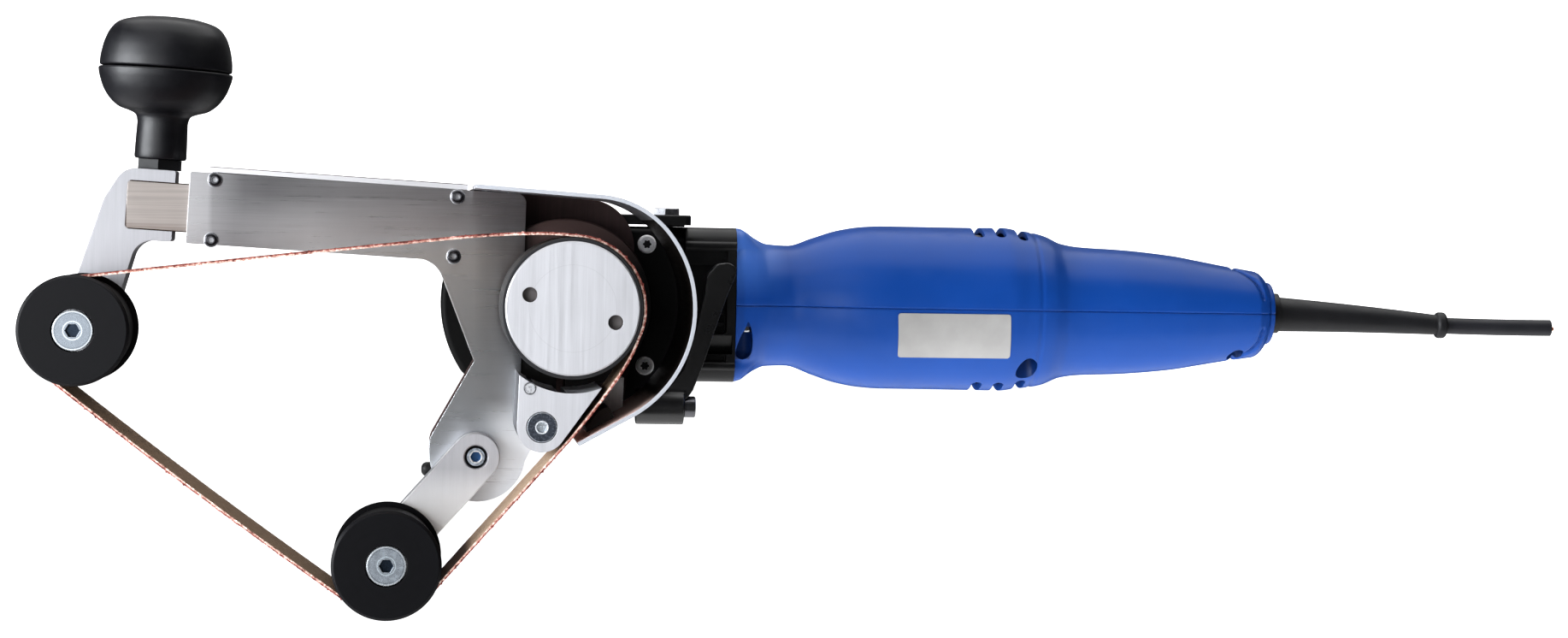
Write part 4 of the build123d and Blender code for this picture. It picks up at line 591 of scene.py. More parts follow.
# Painted shade: a darker line along the top edge of the strip's front face.
k_strip.recolour(k_strip.math("MULTIPLY", k_strip.math("GREATER_THAN", strip_w, 0.01748), k_strip.math("LESS_THAN", k_strip.along("y"), -0.0708)), rgb(120, 112, 114))
m_strip = k_strip.m
k_guard = brushed("guard_steel_sheet", rgb(226, 227, 232), "y", 0.36, 1.0, 0.0, 1900.0, 60.0, 0.08, 0.08)
cut_edge = k_guard.math("LESS_THAN", k_guard.along("y"), -0.12588)
k_guard.recolour(cut_edge, rgb(184, 187, 194))
# Painted shade: the guard's inner faces below the top are near black; painted light: the inner faces of its lower tail
# are pale so they read lit; both are made hardly metallic.
inside = k_guard.math("MULTIPLY", k_guard.facing_in(S_AXIS), k_guard.math("LESS_THAN", k_guard.along("z"), 0.036))
k_guard.recolour(inside, rgb(26, 21, 19))
k_guard.recolour(k_guard.math("MULTIPLY", inside, k_guard.span(k_guard.along("z"), -0.034, -0.042, 0.0, 1.0)), rgb(250, 220, 212))
k_guard.set(metal=k_guard.math("SUBTRACT", k_guard.span(cut_edge, 0.0, 1.0, 1.0, 0.3), k_guard.math("MULTIPLY", inside, 0.9)))
m_guard = k_guard.m
m_zinc = plated("zinc_plate", rgb(222, 224, 228), 0.2, 0.1).m
# Painted reflections on the cover screws: a dark head with a bright centre, a dark ring and a bright outer ring, and a
# pale socket.
m_button = screw_face("button_screw_steel", "cover_screws", rgb(96, 96, 100), [(0.0, 0.0008, rgb(240, 241, 244)), (0.0015, 0.0024, rgb(40, 40, 43)),
                      (0.0029, 0.0042, rgb(206, 207, 210))], 0.0013, rgb(196, 197, 201), 0.22, 0.55, 300.0, 0.15)
# Painted highlight rings round the socket and at the rim with a thin dark line between, and painted shade in the
# socket; the front screw is painted a shade darker than the lower one.
AXLE_RINGS = [(0.0034, 0.0039, rgb(196, 206, 214)), (0.0068, 0.0070, rgb(112, 118, 124)), (0.0073, 0.0082, rgb(196, 201, 206))]
m_axle_f = screw_face("front_axle_zinc", "front_axle_screw", rgb(138, 145, 153), AXLE_RINGS, 0.0034, rgb(46, 58, 72), mottle=380.0, spread=0.17)
m_axle_l = screw_face("lower_axle_zinc", "lower_axle_screw", rgb(158, 165, 173), AXLE_RINGS, 0.0034, rgb(46, 58, 72), mottle=380.0, spread=0.17)
# Painted glint ring round the socket, painted shade in a dark ring round the head, and a bluish painted reflection in
# the socket.
m_pivot = screw_face("pivot_screw_zinc", "pivot_screw", rgb(190, 199, 210), [(0.0021, 0.0027, rgb(252, 253, 255)), (0.0037, 0.0050, rgb(44, 46, 50))],
                     0.0021, rgb(76, 112, 156), 0.3, 0.85, 520.0, 0.45)
# Painted highlight rings at the socket's edge and at the rim, and a pale painted glint in the socket.
m_platen_screw = screw_face("platen_screw_steel", "platen_screw", rgb(78, 83, 92), [(0.0021, 0.0027, rgb(238, 242, 247)), (0.0057, 0.0062, rgb(206, 210, 216))],
                            0.0023, rgb(226, 232, 238), 0.24, 0.6, 900.0, 0.4)
# Painted highlight ring and painted shade in the star socket; the heads are near white and hardly metallic so they read
# lit in the guard's shade.
m_torx = screw_face("adapter_screw_zinc", "adapter_screws", rgb(240, 242, 246), [(0.0031, 0.0042, rgb(254, 254, 255))],
                    0.0021, rgb(30, 30, 32), 0.42, 0.1, 500.0, 0.14, 0.0009)
# Painted shade: a darker ring at the pin's rim.
m_pin = screw_face("dowel_pin_steel", "platen_pin", rgb(206, 207, 211), [(0.00205, 0.0026, rgb(112, 112, 116))], 0.0001, rgb(90, 90, 92), 0.28, 0.6, 900.0, 0.25)
# Painted shadow: the front boss is dark brown; the rest is near white and hardly metallic so it reads lit in the
# guard's shade.
k_tab = brushed("bracket_aluminium", rgb(255, 253, 253), "z", 0.46, 0.2, 0.0, 2300.0, 60.0, 0.1, 0.1)
k_tab.recolour(k_tab.math("LESS_THAN", k_tab.along("y"), -0.0778), rgb(44, 35, 32))
m_tab = k_tab.m
k_collar = brushed("collar_dark", rgb(20, 18, 18), "z", 0.34, 0.1, 0.0, 2200.0, 40.0, 0.2, 0.06)
# Painted reflection: the collar turns browner towards the top.
k_collar.recolour(k_collar.span(k_collar.along("z"), 0.014, 0.027, 0.0, 1.0), rgb(74, 58, 56))
m_collar = k_collar.m
m_bolt = plated("top_bolt_chrome", rgb(164, 165, 169), 0.28, 0.2, 0.9).m
m_dark = plated("dark_steel", rgb(120, 120, 124), 0.32, 0.15).m
m_black_screw = plated("black_oxide_screw", rgb(52, 52, 55), 0.26, 0.2).m
m_stud = cast("stud_black_oxide", (0.006, 0.006, 0.007), 0.5, 1500.0, 0.08, 0.2, 0.0, 0.3).m
# The lower roller is painted a shade darker than the front roller: painted shade.
m_roller_f = turned("front_roller_black", (0.0042, 0.0042, 0.0056), FRONT_AXIS, "y", 0.46, 0.0, 1500.0, 0.2, 0.12, 0.24, grain=1600.0).m
m_roller_l = turned("lower_roller_black", (0.0034, 0.0034, 0.0048), LOWER_AXIS, "y", 0.46, 0.0, 1500.0, 0.2, 0.12, 0.2, grain=1600.0).m
m_core = brushed("core_steel", rgb(150, 150, 152), "y", 0.4, 1.0, 0.0, 1500.0, 80.0, 0.15, 0.1).m
m_bearing = plated("bearing_steel", rgb(205, 206, 210), 0.22, 0.08).m
m_copper = plated("copper_bare", rgb(205, 126, 82), 0.28, 0.18).m
m_carbon = cast("carbon_brush", (0.02, 0.02, 0.021), 0.55, 1600.0, 0.3, 0.2).m


def label_material():
    """Blank printed plate: pale field, slight wear."""
    k = Mat("rating_plate_blank", 0.0, 0.42, 0.3, rgb(160, 159, 158))
    field = k.noise(scale=55.0, detail=4.0)
    tint = k.ramp(field, [(0.3, rgb(152, 151, 150)), (0.7, rgb(165, 164, 163))])
    k.set(color=tint)
    k.set(rough=k.span(k.noise(scale=300.0, detail=3.0), 0.25, 0.75, 0.36, 0.5))
    k.set(normal=k.bump(k.noise(scale=1800.0, detail=2.0), 0.05, 0.00004, k.edge(0.0002)))
    return k.m


m_label = label_material()


def belt_outer():
    k = Mat("belt_abrasive", 0.0, 0.85, 0.3, rgb(74, 50, 44))
    g = k.voronoi(scale=2300.0)
    t = k.noise(scale=900.0, detail=3.0)
    tone = k.math("ADD", k.math("MULTIPLY", g, 0.8), k.math("MULTIPLY", t, 0.4))
    k.set(color=k.ramp(tone, [(0.2, rgb(44, 27, 24)), (0.55, rgb(84, 54, 47)), (0.9, rgb(146, 112, 100))]))
    k.set(normal=k.bump(tone, 0.9, 0.0002))
    return k.m


def belt_inner():
    k = Mat("belt_cloth_back", 0.0, 0.8, 0.3, rgb(176, 154, 132))
    w1 = k.nt.nodes.new("ShaderNodeTexWave")
    w1.bands_direction = "Y"
    w1.inputs["Scale"].default_value = 420.0
    k.nt.links.new(k.coords(), w1.inputs["Vector"])
    t = k.noise(scale=700.0, detail=4.0)
    tone = k.math("ADD", k.math("MULTIPLY", w1.outputs["Fac"], 0.35), k.math("MULTIPLY", t, 0.65))
    k.set(color=k.ramp(tone, [(0.25, rgb(122, 100, 83)), (0.75, rgb(183, 161, 139))]))
    # Painted shadow: the cloth darkens towards the lower roller.
    k.recolour(k.math("MULTIPLY", k.span(k.along("z"), -0.0955, -0.0985, 0.0, 0.85), k.math("GREATER_THAN", k.along("x"), -0.1560)), rgb(66, 48, 42))
    k.set(normal=k.bump(tone, 0.5, 0.0001))
    return k.m


def belt_edge(name, stops):
    """Cut edge of the belt: torn fibres and resin."""
    k = Mat(name, 0.0, 0.85, 0.3, stops[1][1])
    t = k.noise(scale=620.0, detail=4.0, rough=0.7)
    u = k.noise(scale=90.0, detail=2.0)
    tone = k.math("ADD", k.math("MULTIPLY", t, 0.75), k.math("MULTIPLY", u, 0.25))
    k.set(color=k.ramp(tone, stops))
    k.set(normal=k.bump(t, 0.8, 0.0002))
    return k.m


m_belt = [belt_outer(), belt_inner(),
          belt_edge("belt_cloth_edge", [(0.36, rgb(96, 56, 50)), (0.46, rgb(172, 130, 118)), (0.56, rgb(216, 192, 180)), (0.66, rgb(250, 246, 240))]),
          belt_edge("belt_abrasive_edge", [(0.38, rgb(58, 20, 18)), (0.47, rgb(120, 56, 50)), (0.57, rgb(168, 112, 102)), (0.68, rgb(242, 230, 222))])]


# ---------------------------------------------------------------- camera
cam_data = bpy.data.cameras.new("camera")
cam = bpy.data.objects.new("camera", cam_data)
scene.collection.objects.link(cam)
cam_data.sensor_fit = "HORIZONTAL"
cam_data.sensor_width = 36.0
cam_data.lens = 36.0 * 3800.0 / 1834.0
cam_data.clip_start = 0.01
cam_data.clip_end = 100.0
fwd = Vector((0.1129163, 0.99322498, -0.02745979)).normalized()
up = Vector((-0.01674969, 0.02953537, 0.99942339))
right = fwd.cross(up).normalized()
up = right.cross(fwd).normalized()
mat = Matrix((right, up, -fwd)).transposed().to_4x4()
mat.translation = Vector((-0.16135782, -1.42712444, 0.03319148))
cam.matrix_world = mat
scene.camera = cam


# ---------------------------------------------------------------- supply cord
CORD_R = 3.65
route = [(302.1, 0.0, -4.3), (327.5, 0.0, -4.75), (351.0, 0.0, -4.5)]
cu = bpy.data.curves.new("supply_cord_jacket", "CURVE")
cu.dimensions = "3D"
sp = cu.splines.new("NURBS")
sp.points.add(len(route) - 1)
for p, q in zip(sp.points, route):
    p.co = (q[0] * MM, q[1] * MM, q[2] * MM, 1.0)
sp.order_u = 3
sp.use_endpoint_u = True
sp.resolution_u = 24
cu.bevel_depth = CORD_R * MM
cu.bevel_resolution = 12
cu.use_fill_caps = True
cu.materials.append(m_cord)
cord = bpy.data.objects.new("supply_cord_jacket", cu)
scene.collection.objects.link(cord)
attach(cord, "tool_body")
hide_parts("supply_cord")


# ---------------------------------------------------------------- motor housing shells
R_OF = pchip([(-23.5, 33.4), (-20.3, 33.3), (-17.7, 32.1), (-13.4, 29.3), (-7.6, 26.9), (1.4, 26.5), (12.7, 30.1), (24, 33.7), (35, 35.5),
              (44, 36), (97, 36), (104.7, 34.9), (110, 34.2), (116, 32.8), (124, 29.4), (132, 28.1), (151.5, 27.2),
              (174.9, 25), (186.7, 23), (198.5, 20.9), (210.4, 19), (217.6, 17.6)])
GROOVE_X = pchip([(6.0, 213.7), (9.0, 213.2), (12.0, 212.2), (15.0, 210.0), (17.0, 207.4), (18.4, 205.2), (19.5, 202.5)])


def housing_radius(x, th, base):
    """Outer radius at a station and an angle from the near side (-Y) turning up."""
    c, s = abs(math.cos(th)), abs(math.sin(th))
    k = 1.0 - smooth(-22.0, -4.0, x)
    n = 2.0 + 0.8 * k
    a = base * (1.0 - 0.055 * k)
    r = (((c / a) ** n) + ((s / base) ** n)) ** (-1.0 / n)
    t = (x + 23.5) / 13.0
    f = 1.0 - smooth(0.5, 1.0, t)
    if f > 0.0:
        sc = base / 33.4
        yc, zc, rl = (19.6 - 2.5 * t) * sc, 25.9 * sc, (7.6 - 3.6 * t) * sc
        cc = math.hypot(yc, zc)
        d = math.atan2(s, c) - math.atan2(zc, yc)
        q = rl * rl - (cc * math.sin(d)) ** 2
        if q > 0.0:
            lobe = cc * math.cos(d) + math.sqrt(q)
            kk = 0.5
            hh = max(kk - abs(lobe - r), 0.0) / kk
            r = lerp(r, max(lobe, r) + hh * hh * kk * 0.25, f)
    # shallow line behind the vents
    r -= 0.45 * math.exp(-(((x - 110.6) / 0.75) ** 2)) * smooth(0.10, 0.3, s + 0.2)
    # grooves that part the end lips, and the flat between them
    z = r * s
    if x > 200.0 and base > 13.9:
        if z > 4.5:
            gx = GROOVE_X(max(6.0, z))
            w = (x - gx) / 0.95
            r -= 1.7 * math.exp(-w * w) * smooth(5.2, 7.4, z)
        mid = (1.0 - smooth(4.2, 7.6, z)) * smooth(211.8, 214.0, x)
        r -= 0.7 * mid
    return r


SCREWS = [(-19.7, 26.9, 4.0, -9.0), (105.8, 23.2, 4.7, -16.0), (203.0, 9.0, 3.9, -13.0)]
# the underside stands a little further out than the top, more so towards the rear
UNDER = pchip([(-23.5, 0.0), (0.0, 0.35), (60.0, 0.4), (104.0, 0.6), (124.0, 1.15), (200.0, 1.2), (212.0, 1.3), (216.9, 0.6), (220.0, 0.0)])
OVER = pchip([(-23.5, 0.0), (10.0, -0.4), (80.0, -0.35), (104.0, 0.0), (160.0, -0.1), (220.0, 0.0)])


def cavity_radius(x):
    if x > 206.0:
        return lerp(R_OF(206.0) - 2.6, 10.5, smooth(206.0, 213.0, x))
    return R_OF(x) - 2.6


def half_shell(name, sign, node):
    """Solid half of the housing, hollowed (the lower half keeping its screw posts), then bored and slotted."""
    rows = []
    x = -23.5
    while x < 211.0:
        rows.append((x, R_OF(x)))
        if x < -4:
            x += 0.75
        elif x < 80:
            x += 2.1
        elif x < 104:
            x += 1.6
        elif x < 132:
            x += 0.8
        elif x < 198:
            x += 2.4
        else:
            x += 0.55
    rows += [(211.5, 18.85), (212.3, 18.7), (213.0, 18.5), (213.7, 18.2), (214.4, 17.8), (215.1, 17.2), (215.8, 16.5),
             (216.4, 15.8), (216.9, 15.1), (217.3, 14.5), (217.6, 13.95), (217.8, 13.75), (218.4, 13.7), (219.1, 13.68),
             (219.6, 13.5), (219.9, 13.15), (220.0, 12.7)]
    n = len(rows)
    steps = [0.0, 0.25, 0.6, 1.1] + [1.6 + k * 1.6 for k in range(111)]
    steps = [t for t in steps if t < 90.0]
    ths = [math.radians(t) for t in steps] + [math.radians(90.0)] + [math.radians(180.0 - t) for t in reversed(steps)]
    m = len(ths)
    verts = []
    for x, base in rows:
        for th in ths:
            r = housing_radius(x, th, base)
            y, z = -r * math.cos(th), r * math.sin(th)
            gap = min(th, math.pi - th) * r
            d = 0.5 * max(0.0, 1.0 - gap / 0.55)
            if d > 0.0:
                y *= 1.0 - d / max(1.0, abs(y))
            z *= 1.0 + (OVER(x) if sign > 0 else UNDER(x)) / base
            verts.append((x, y, sign * max(z, 0.012)))
    faces = []
    for i in range(n - 1):
        for j in range(m - 1):
            faces.append((i * m + j, i * m + j + 1, (i + 1) * m + j + 1, (i + 1) * m + j))
        faces.append((i * m + m - 1, i * m, (i + 1) * m, (i + 1) * m + m - 1))
    faces.append(tuple(reversed(range(m))))
    faces.append(tuple((n - 1) * m + j for j in range(m)))
    obj = make(name, verts, faces, m_blue, 40)
    xs = [-24.5] + [-23.0 + 2.0 * k for k in range(115)] + [208.0, 210.0, 212.0, 213.0, 224.5]
    v, f = lathe([(0.0, -24.5)] + [(cavity_radius(x), x) for x in xs] + [(0.0, 224.5)], (0, 0, 0), (1, 0, 0), (0, -1, 0), 96)
    hollow = make("cut_hollow", v, f, m_blue, 40)
    posts, cut = [], []
    z0, z1 = (-3.0, 45.0) if sign > 0 else (-45.0, 3.0)
    for cx, cy, r, seat in SCREWS:
        for sy in (-1, 1):
            posts.append(prism("cut_post", disc_outline(cx, sy * cy, r + 1.7), z0, z1, m_blue))
            if sign < 0:
                if cx < 0:
                    cup = [(r * math.sin(math.radians(6 * k)), -19.4 - 3.9 * math.cos(math.radians(6 * k))) for k in range(16)]
                    v, f = lathe(cup + [(r, seat), (0.0, seat)], (cx, sy * cy, 0), (0, 0, 1), (1, 0, 0), 48)
                    cut.append(make("cut_bore", v, f, m_blue, 30))
                else:
                    cut.append(prism("cut_bore", disc_outline(cx, sy * cy, r), -45.0, seat, m_blue))
                cut.append(prism("cut_shank", disc_outline(cx, sy * cy, 2.15, 32), seat - 1.0, 2.0, m_blue))
            else:
                cut.append(prism("cut_shank", disc_outline(cx, sy * cy, 2.15, 32), -2.0, 14.0, m_blue))
    if sign < 0:
        boolean_cut(hollow, posts)
    else:
        for c in posts:
            data = c.data
            bpy.data.objects.remove(c)
            bpy.data.meshes.remove(data)
    for cx, w in ((85.2, 4.5), (94.9, 4.5), (104.7, 4.5)):
        z0, z1 = (26.5, 45.0) if sign > 0 else (-45.0, -26.5)
        cut.append(prism("cut_vent", stadium(cx, 0.0, w, 33.5), z0, z1, m_blue))
    # windows for the switch and the dial on the far side
    z0, z1 = (-1.0, 5.3) if sign > 0 else (-5.3, 1.0)
    cut.append(prism("cut_switch", [(135, 18), (158, 18), (158, 40), (135, 40)], z0, z1, m_blue))
    z0, z1 = (-1.0, 3.1) if sign > 0 else (-3.1, 1.0)
    cut.append(prism("cut_dial", [(160.5, 16), (183.5, 16), (183.5, 40), (160.5, 40)], z0, z1, m_blue))
    boolean_cut(obj, [hollow] + cut)
    shade(obj, 32)
    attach(obj, "tool_body")
    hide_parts(node)
    return obj


upper = half_shell("motor_shell_upper", 1, "housing_upper_shell")
lower = half_shell("motor_shell_lower", -1, "housing_lower_shell")


# ---------------------------------------------------------------- hand knob
ct, st = math.cos(TILT), math.sin(TILT)


def bar_point(u, w, y):
    return (-245.0 + u * ct + w * st, y, 36.65 - u * st + w * ct)


KNOB_O = bar_point(-23.2, 0.0, -58.75)
KNOB_A = (st, 0.0, ct)
KNOB_S = (ct, 0.0, -st)


def curve_points(pts, per=6):
    """Catmull-Rom points through a list."""
    out = []
    n = len(pts)
    for i in range(n - 1):
        p0, p1, p2, p3 = pts[max(i - 1, 0)], pts[i], pts[i + 1], pts[min(i + 2, n - 1)]
        for k in range(per):
            t = k / per
            out.append(tuple(
                0.5 * (2 * b + (c - a) * t + (2 * a - 5 * b + 4 * c - d) * t * t + (3 * b - a - 3 * c + d) * t ** 3)
                for a, b, c, d in zip(p0, p1, p2, p3)))
    out.append(pts[-1])
    return out


base_curve = curve_points([(10.3, 34.5), (11.2, 37.4), (14, 38.8), (18.2, 40.2), (22, 43.2), (25, 47.6), (26.8, 52.4),
                           (27.4, 55.2)], 8)
base_profile = [(4.1, 19.35), (9.6, 19.35), (10.3, 19.6), (10.65, 20.3), (10.6, 24.0), (10.45, 30.0)] + base_curve + [
    (27.38, 55.7), (27.1, 56.1), (26.7, 56.25), (4.1, 56.25)]
v, f = lathe(base_profile, KNOB_O, KNOB_A, KNOB_S, 144, closed=True)
knob_base = make("knob_lower_half", v, f, m_knob, 40)
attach(knob_base, "tension_slide")
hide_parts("knob_base")
cap_curve = curve_points([(27.05, 57.7), (26.8, 61.5), (25.6, 67), (23.4, 72), (19.6, 75.6), (12, 77.7), (5, 78.35)], 8)
cap_profile = [(0, 56.75), (26.2, 56.75), (26.75, 56.95), (27.0, 57.3)] + cap_curve + [(2.0, 78.47), (0, 78.5)]
v, f = lathe(cap_profile, KNOB_O, KNOB_A, KNOB_S, 144)
knob_cap = make("knob_upper_half", v, f, m_knob, 40)
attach(knob_cap, "tension_slide")
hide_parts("knob_cap")


# ---------------------------------------------------------------- sanding belt
SX, SZ = -98.6, 0.0
FX, FZ = -294.9, -12.0
LX, LZ = -170.95, -103.7
RD, RR = 29.25, 20.75


def belt_path():
    """Points of the belt's middle line with outward normals, from the right of the drum, over the top, round."""
    out = []

    def on(cx, cz, r, deg):
        return (cx + r * math.cos(math.radians(deg)), cz + r * math.sin(math.radians(deg)))

    def heading(deg):
        return (-math.sin(math.radians(deg)), math.cos(math.radians(deg)))

    def arc(cx, cz, r, a0, a1, step=0.6):
        n = max(2, int(abs(math.radians(a1 - a0)) * r / step))
        for k in range(n + 1):
            a = math.radians(lerp(a0, a1, k / n))
            out.append((cx + r * math.cos(a), cz + r * math.sin(a), math.cos(a), math.sin(a)))

    def free(points, d0, d1, step=0.6):
        """A smooth run through points with given end directions, without its end points."""
        a, b = points[0], points[-1]
        l0 = math.dist(a, points[1])
        l1 = math.dist(b, points[-2])
        pts = [(a[0] - d0[0] * l0, a[1] - d0[1] * l0)] + points + [(b[0] + d1[0] * l1, b[1] + d1[1] * l1)]
        fine = []
        for i in range(1, len(pts) - 2):
            n = max(2, int(math.dist(pts[i], pts[i + 1]) / step))
            for k in range(n):
                t = k / n
                fine.append(tuple(
                    0.5 * (2 * q + (r - p) * t + (2 * p - 5 * q + 4 * r - w) * t * t + (3 * q - p - 3 * r + w) * t ** 3)
                    for p, q, r, w in zip(*pts[i - 1:i + 3])))
        fine.append(b)
        for p, q, r in zip(fine, fine[1:], fine[2:]):
            d = math.dist(p, r)
            out.append((q[0], q[1], (r[1] - p[1]) / d, -(r[0] - p[0]) / d))

    arc(SX, SZ, RD, -14.0, 85.0)
    free([on(SX, SZ, RD, 85.0), (-104.5, 29.7), (-112.8, 29.75), (-126.4, 29.1), (-139.9, 27.95), (-153.5, 26.4), (-170.0, 24.4),
          (-187.1, 22.35), (-214.0, 19.05), (-240.6, 15.75), (-267.2, 12.45), on(FX, FZ, RR, 97.1)], heading(85.0), heading(97.1))
    arc(FX, FZ, RR, 97.1, 231.8)
    free([on(FX, FZ, RR, 231.8), (-245.95, -75.46), on(LX, LZ, RR, 235.2)], heading(231.8), heading(235.2))
    arc(LX, LZ, RR, 235.2, 318.9)
    p, q = on(LX, LZ, RR, 318.9), (-97.98, -51.67)
    n = int(math.dist(p, q) / 0.6)
    for k in range(1, n + 1):
        out.append((lerp(p[0], q[0], k / n), lerp(p[1], q[1], k / n), math.cos(math.radians(318.9)), math.sin(math.radians(318.9))))
    free([q, (-84.65, -34.15), (-75.85, -20.55), on(SX, SZ, RD, -14.0)], heading(318.9), heading(-14.0))
    return out


PATH = belt_path()
SPLIT = min((i for i, p in enumerate(PATH) if p[2] < -0.55 and p[3] < -0.75), key=lambda i: abs(PATH[i][0] + 233.0))
DRUM_SPLIT = min((i for i, p in enumerate(PATH[:110])), key=lambda i: abs(math.degrees(math.atan2(PATH[i][1] - SZ, PATH[i][0] - SX))))


def belt_piece(name, idx, seed):
    rnd = random.Random(seed)
    verts, faces, fm = [], [], []
    n = len(idx)
    rings = []
    T = 0.56
    wave = [rnd.uniform(-1, 1) for _ in range(n // 7 + 3)]
    for c, i in enumerate(idx):
        x, z, nx, nz = PATH[i]
        live = 1.0 if 3 < c < n - 4 else 0.0
        e = [rnd.uniform(-1, 1) for _ in range(8)]
        slow = lerp(wave[c // 7], wave[c // 7 + 1], c % 7 / 7)

        def at(off, y):
            return (x + nx * off, y, z + nz * off)

        # a torn thread now and then stands out of the edge
        tuft = rnd.random()
        up = live * rnd.uniform(0.2, 0.6) if tuft < 0.05 else 0.0
        down = live * rnd.uniform(0.2, 0.5) if tuft > 0.95 else 0.0
        ring = [
            at(T, -86.7), at(T, -100.0), at(T, -113.0), at(T, -125.1),
            at(T + live * (0.10 * e[0] + 0.08 * slow) + up, -125.75 + live * 0.2 * e[1]),
            at(0.05 + live * 0.12 * e[2], -125.85 + live * 0.14 * e[3]),
            at(-T + live * 0.07 * e[4] - 0.25 * down, -125.78 + live * 0.2 * e[5]),
            at(-T, -125.1), at(-T, -113.0), at(-T, -100.0), at(-T, -86.7),
            at(-T + live * 0.05 * e[6], -86.2 + live * 0.15 * e[7]),
            at(T, -86.2 + live * 0.15 * e[6]),
        ]
        rings.append(range(len(verts), len(verts) + len(ring)))
        verts += ring
    k = len(rings[0])
    kinds = [0, 0, 0, 3, 3, 2, 2, 1, 1, 1, 2, 2, 3]
    for a, b in zip(rings, rings[1:]):
        for j in range(k):
            faces.append((a[j], a[(j + 1) % k], b[(j + 1) % k], b[j]))
            fm.append(kinds[j])
    faces.append(tuple(reversed(rings[0])))
    faces.append(tuple(rings[-1]))
    fm += [2, 2]
    obj = make(name, verts, faces, m_belt, 50, fm)
    return obj


front_idx = list(range(DRUM_SPLIT, SPLIT + 1))
lower_idx = list(range(SPLIT, len(PATH))) + list(range(0, DRUM_SPLIT + 1))
belt_front = belt_piece("belt_front_run", front_idx, 7)
belt_lower = belt_piece("belt_lower_run", lower_idx, 8)
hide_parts("sanding_belt")
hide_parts("sanding_belt")
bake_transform(belt_front)
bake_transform(belt_lower)


# ---------------------------------------------------------------- finishes of the carried-over parts
FINISH = {
    "housing_screws": m_zinc, "rating_plate": m_label, "strain_relief": m_rubber, "cord_conductors": m_copper,
    "stator_core": m_core, "carbon_brushes": m_carbon, "motor_bearings": m_bearing, "electronics_module": m_black,
    "gear_housing": m_head, "gear_housing_screws": m_zinc, "spindle_bearings": m_bearing, "adapter_disc": m_disc,
    "adapter_screws": m_torx, "clamp_collar": m_collar, "lever_screw": m_dark, "top_bracket": m_bracket, "top_bolt": m_bolt,
    "back_plate": m_back, "cover_plate": m_cover, "cover_screws": m_button, "guide_rails": m_dark, "top_strip": m_strip,
    "tension_spring": m_dark, "leg_spacer": m_dark, "arm_stop": m_black, "pivot_screw": m_pivot, "belt_guard": m_guard,
    "guard_screws": m_zinc, "guard_bracket": m_tab, "platen": m_platen, "platen_screw": m_platen_screw, "platen_pin": m_pin,
    "clamp_lever": m_lever, "lower_arm": m_arm_low, "lower_axle_screw": m_axle_l, "lower_roller": m_roller_l,
    "lower_roller_bearings": m_bearing, "slide_bar": m_bar, "front_arm": m_arm, "knob_stud": m_stud,
    "front_axle_screw": m_axle_f, "front_roller": m_roller_f, "front_roller_bearings": m_bearing, "spindle": m_core,
    "bevel_gear": m_core, "drum_core": m_drum, "drum_tyre": m_tyre, "armature_shaft": m_core, "armature_core": m_core,
    "commutator": m_copper, "cooling_fan": m_black, "bevel_pinion": m_core, "switch_slider": m_black,
    "speed_dial": m_black, "housing_upper_shell": m_blue, "housing_lower_shell": m_blue, "knob_base": m_knob,
    "knob_cap": m_knob, "supply_cord": m_cord, "sanding_belt": m_belt[0],
}
for name, obj in N.items():
    m = FINISH[name]
    if not obj.data.materials:
        obj.data.materials.append(m)
    for i in range(len(obj.material_slots)):
        obj.material_slots[i].material = m

# a copy of the spring with its own mesh, carried by the tool body
coil = bpy.data.objects.new("tension_coil", N["tension_spring"].data.copy())
bpy.context.collection.objects.link(coil)
coil.matrix_world = N["tension_spring"].matrix_world.copy()
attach(coil, "tool_body")
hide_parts("tension_spring")
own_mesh(coil)

# the lever is a casting with its edges rounded over
skin = N["clamp_lever"].modifiers.new("skin", "REMESH")
skin.mode = "VOXEL"
skin.voxel_size = 0.45 * MM
skin.use_smooth_shade = True
soft = N["clamp_lever"].modifiers.new("soft", "SMOOTH")
soft.factor = 0.5
soft.iterations = 5


# ---------------------------------------------------------------- floor, world and lights
def stage_mesh(name, verts, faces, tone, glow):
    me = bpy.data.meshes.new(name)
    me.from_pydata(verts, [], faces)
    k = Mat(name + "_pale", 0.0, 0.8, 0.2, (tone, tone, tone))
    k.set(color=k.ramp(k.noise(scale=3.0, detail=3.0), [(0.3, tone - 0.02), (0.7, tone + 0.02)]))
    k.b.inputs["Emission Color"].default_value = (1, 1, 1, 1)
    far = k.axis_radius((0.0, 0.0, 0.0), "z")
    k.nt.links.new(k.span(far, 0.7, 2.3, glow, 0.99), k.b.inputs["Emission Strength"])
    me.materials.append(k.m)
    for p in me.polygons:
        p.use_smooth = True
    o = bpy.data.objects.new(name, me)
    scene.collection.objects.link(o)
    o.visible_glossy = False
    return o


FLOOR_Z = -0.36
ring_n = 64
verts = [(0.0, 0.0, FLOOR_Z)]
for r in (1.0, 2.5, 5.0, 7.5):
    verts += [(r * math.cos(2 * math.pi * k / ring_n), r * math.sin(2 * math.pi * k / ring_n), FLOOR_Z) for k in range(ring_n)]
faces = [(0, 1 + k, 1 + (k + 1) % ring_n) for k in range(ring_n)]
for q in range(3):
    a0, b0 = 1 + q * ring_n, 1 + (q + 1) * ring_n
    faces += [(a0 + k, b0 + k, b0 + (k + 1) % ring_n, a0 + (k + 1) % ring_n) for k in range(ring_n)]
stage_mesh("studio_floor", verts, faces, 0.9, 0.42)

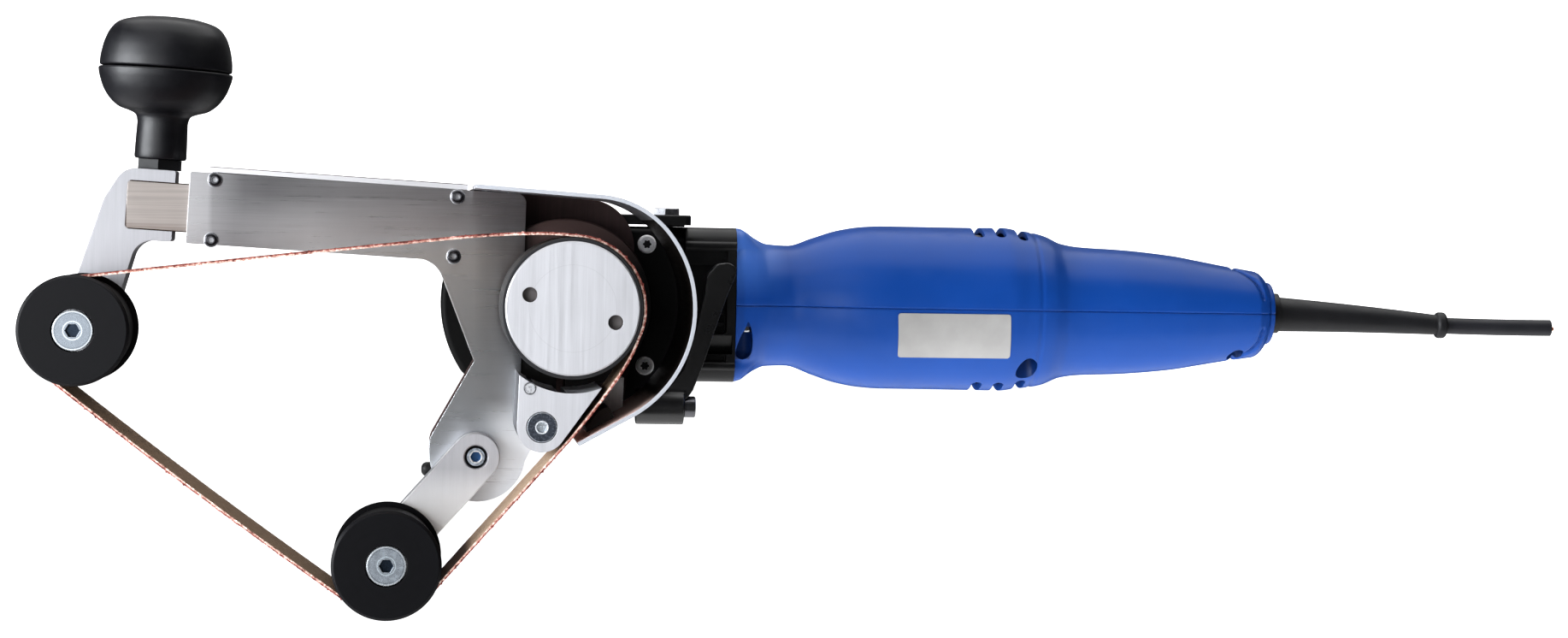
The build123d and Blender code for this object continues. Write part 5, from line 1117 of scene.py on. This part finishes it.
# pale backdrop all round, from the floor up
verts, faces = [], []
levels = [(7.5, FLOOR_Z)] + [(7.5 * math.cos(math.pi / 2 * q / 12), FLOOR_Z + 0.4 + 6.0 * math.sin(math.pi / 2 * q / 12)) for q in range(12)]
for r, z in levels:
    verts += [(r * math.cos(2 * math.pi * k / ring_n), r * math.sin(2 * math.pi * k / ring_n), z) for k in range(ring_n)]
for q in range(len(levels) - 1):
    for k in range(ring_n):
        k2 = (k + 1) % ring_n
        faces.append((q * ring_n + k, q * ring_n + k2, (q + 1) * ring_n + k2, (q + 1) * ring_n + k))
dome = stage_mesh("studio_backdrop", verts, faces, 0.9, 0.97)
dome.visible_diffuse = False
dome.visible_shadow = False

world = bpy.data.worlds.new("studio")
scene.world = world
world.use_nodes = True
bg = world.node_tree.nodes["Background"]
bg.inputs["Color"].default_value = (1, 1, 1, 1)
bg.inputs["Strength"].default_value = 0.04


def softbox(name, loc, target, size, power, colour=(1, 1, 1)):
    d = bpy.data.lights.new(name, "AREA")
    d.shape = "RECTANGLE"
    d.size, d.size_y = size
    d.energy = power
    d.color = colour
    o = bpy.data.objects.new(name, d)
    scene.collection.objects.link(o)
    o.location = loc
    dirv = Vector(target) - Vector(loc)
    o.rotation_euler = dirv.to_track_quat("-Z", "Y").to_euler()
    o.visible_camera = False
    return o


def radiance(size, level):
    return level * math.pi * size[0] * size[1]


softbox("top_box", (0.0, 0.22, 1.0), (0.0, 0.2, 0.0), (1.9, 1.5), radiance((1.9, 1.5), 1.7))
softbox("key_box", (-0.80, -1.40, 0.06), (-0.2, -0.06, 0.0), (0.94, 1.1), radiance((0.94, 1.1), 2.2), (0.97, 0.985, 1.0))
softbox("fill_box", (-0.19, -1.46, 0.0), (-0.19, -0.06, 0.0), (0.22, 1.0), radiance((0.22, 1.0), 0.25))
softbox("left_box", (-1.34, -0.55, 0.10), (-0.25, -0.06, 0.0), (1.1, 1.0), radiance((1.1, 1.0), 10.0), (0.94, 0.97, 1.0))
softbox("front_top_box", (-0.45, -0.95, 0.95), (-0.1, -0.05, 0.0), (0.7, 0.4), radiance((0.7, 0.4), 1.5))
softbox("under_box", (0.0, 0.12, FLOOR_Z + 0.015), (0.0, 0.12, 0.0), (1.7, 0.9), radiance((1.7, 0.9), 0.9))
softbox("back_box", (0.1, 1.5, 0.5), (0.0, 0.0, 0.0), (2.0, 1.0), radiance((2.0, 1.0), 0.15))

scene.view_settings.view_transform = "Standard"
scene.view_settings.look = "Medium High Contrast"
scene.view_settings.exposure = 0.0
scene.view_settings.gamma = 1.0
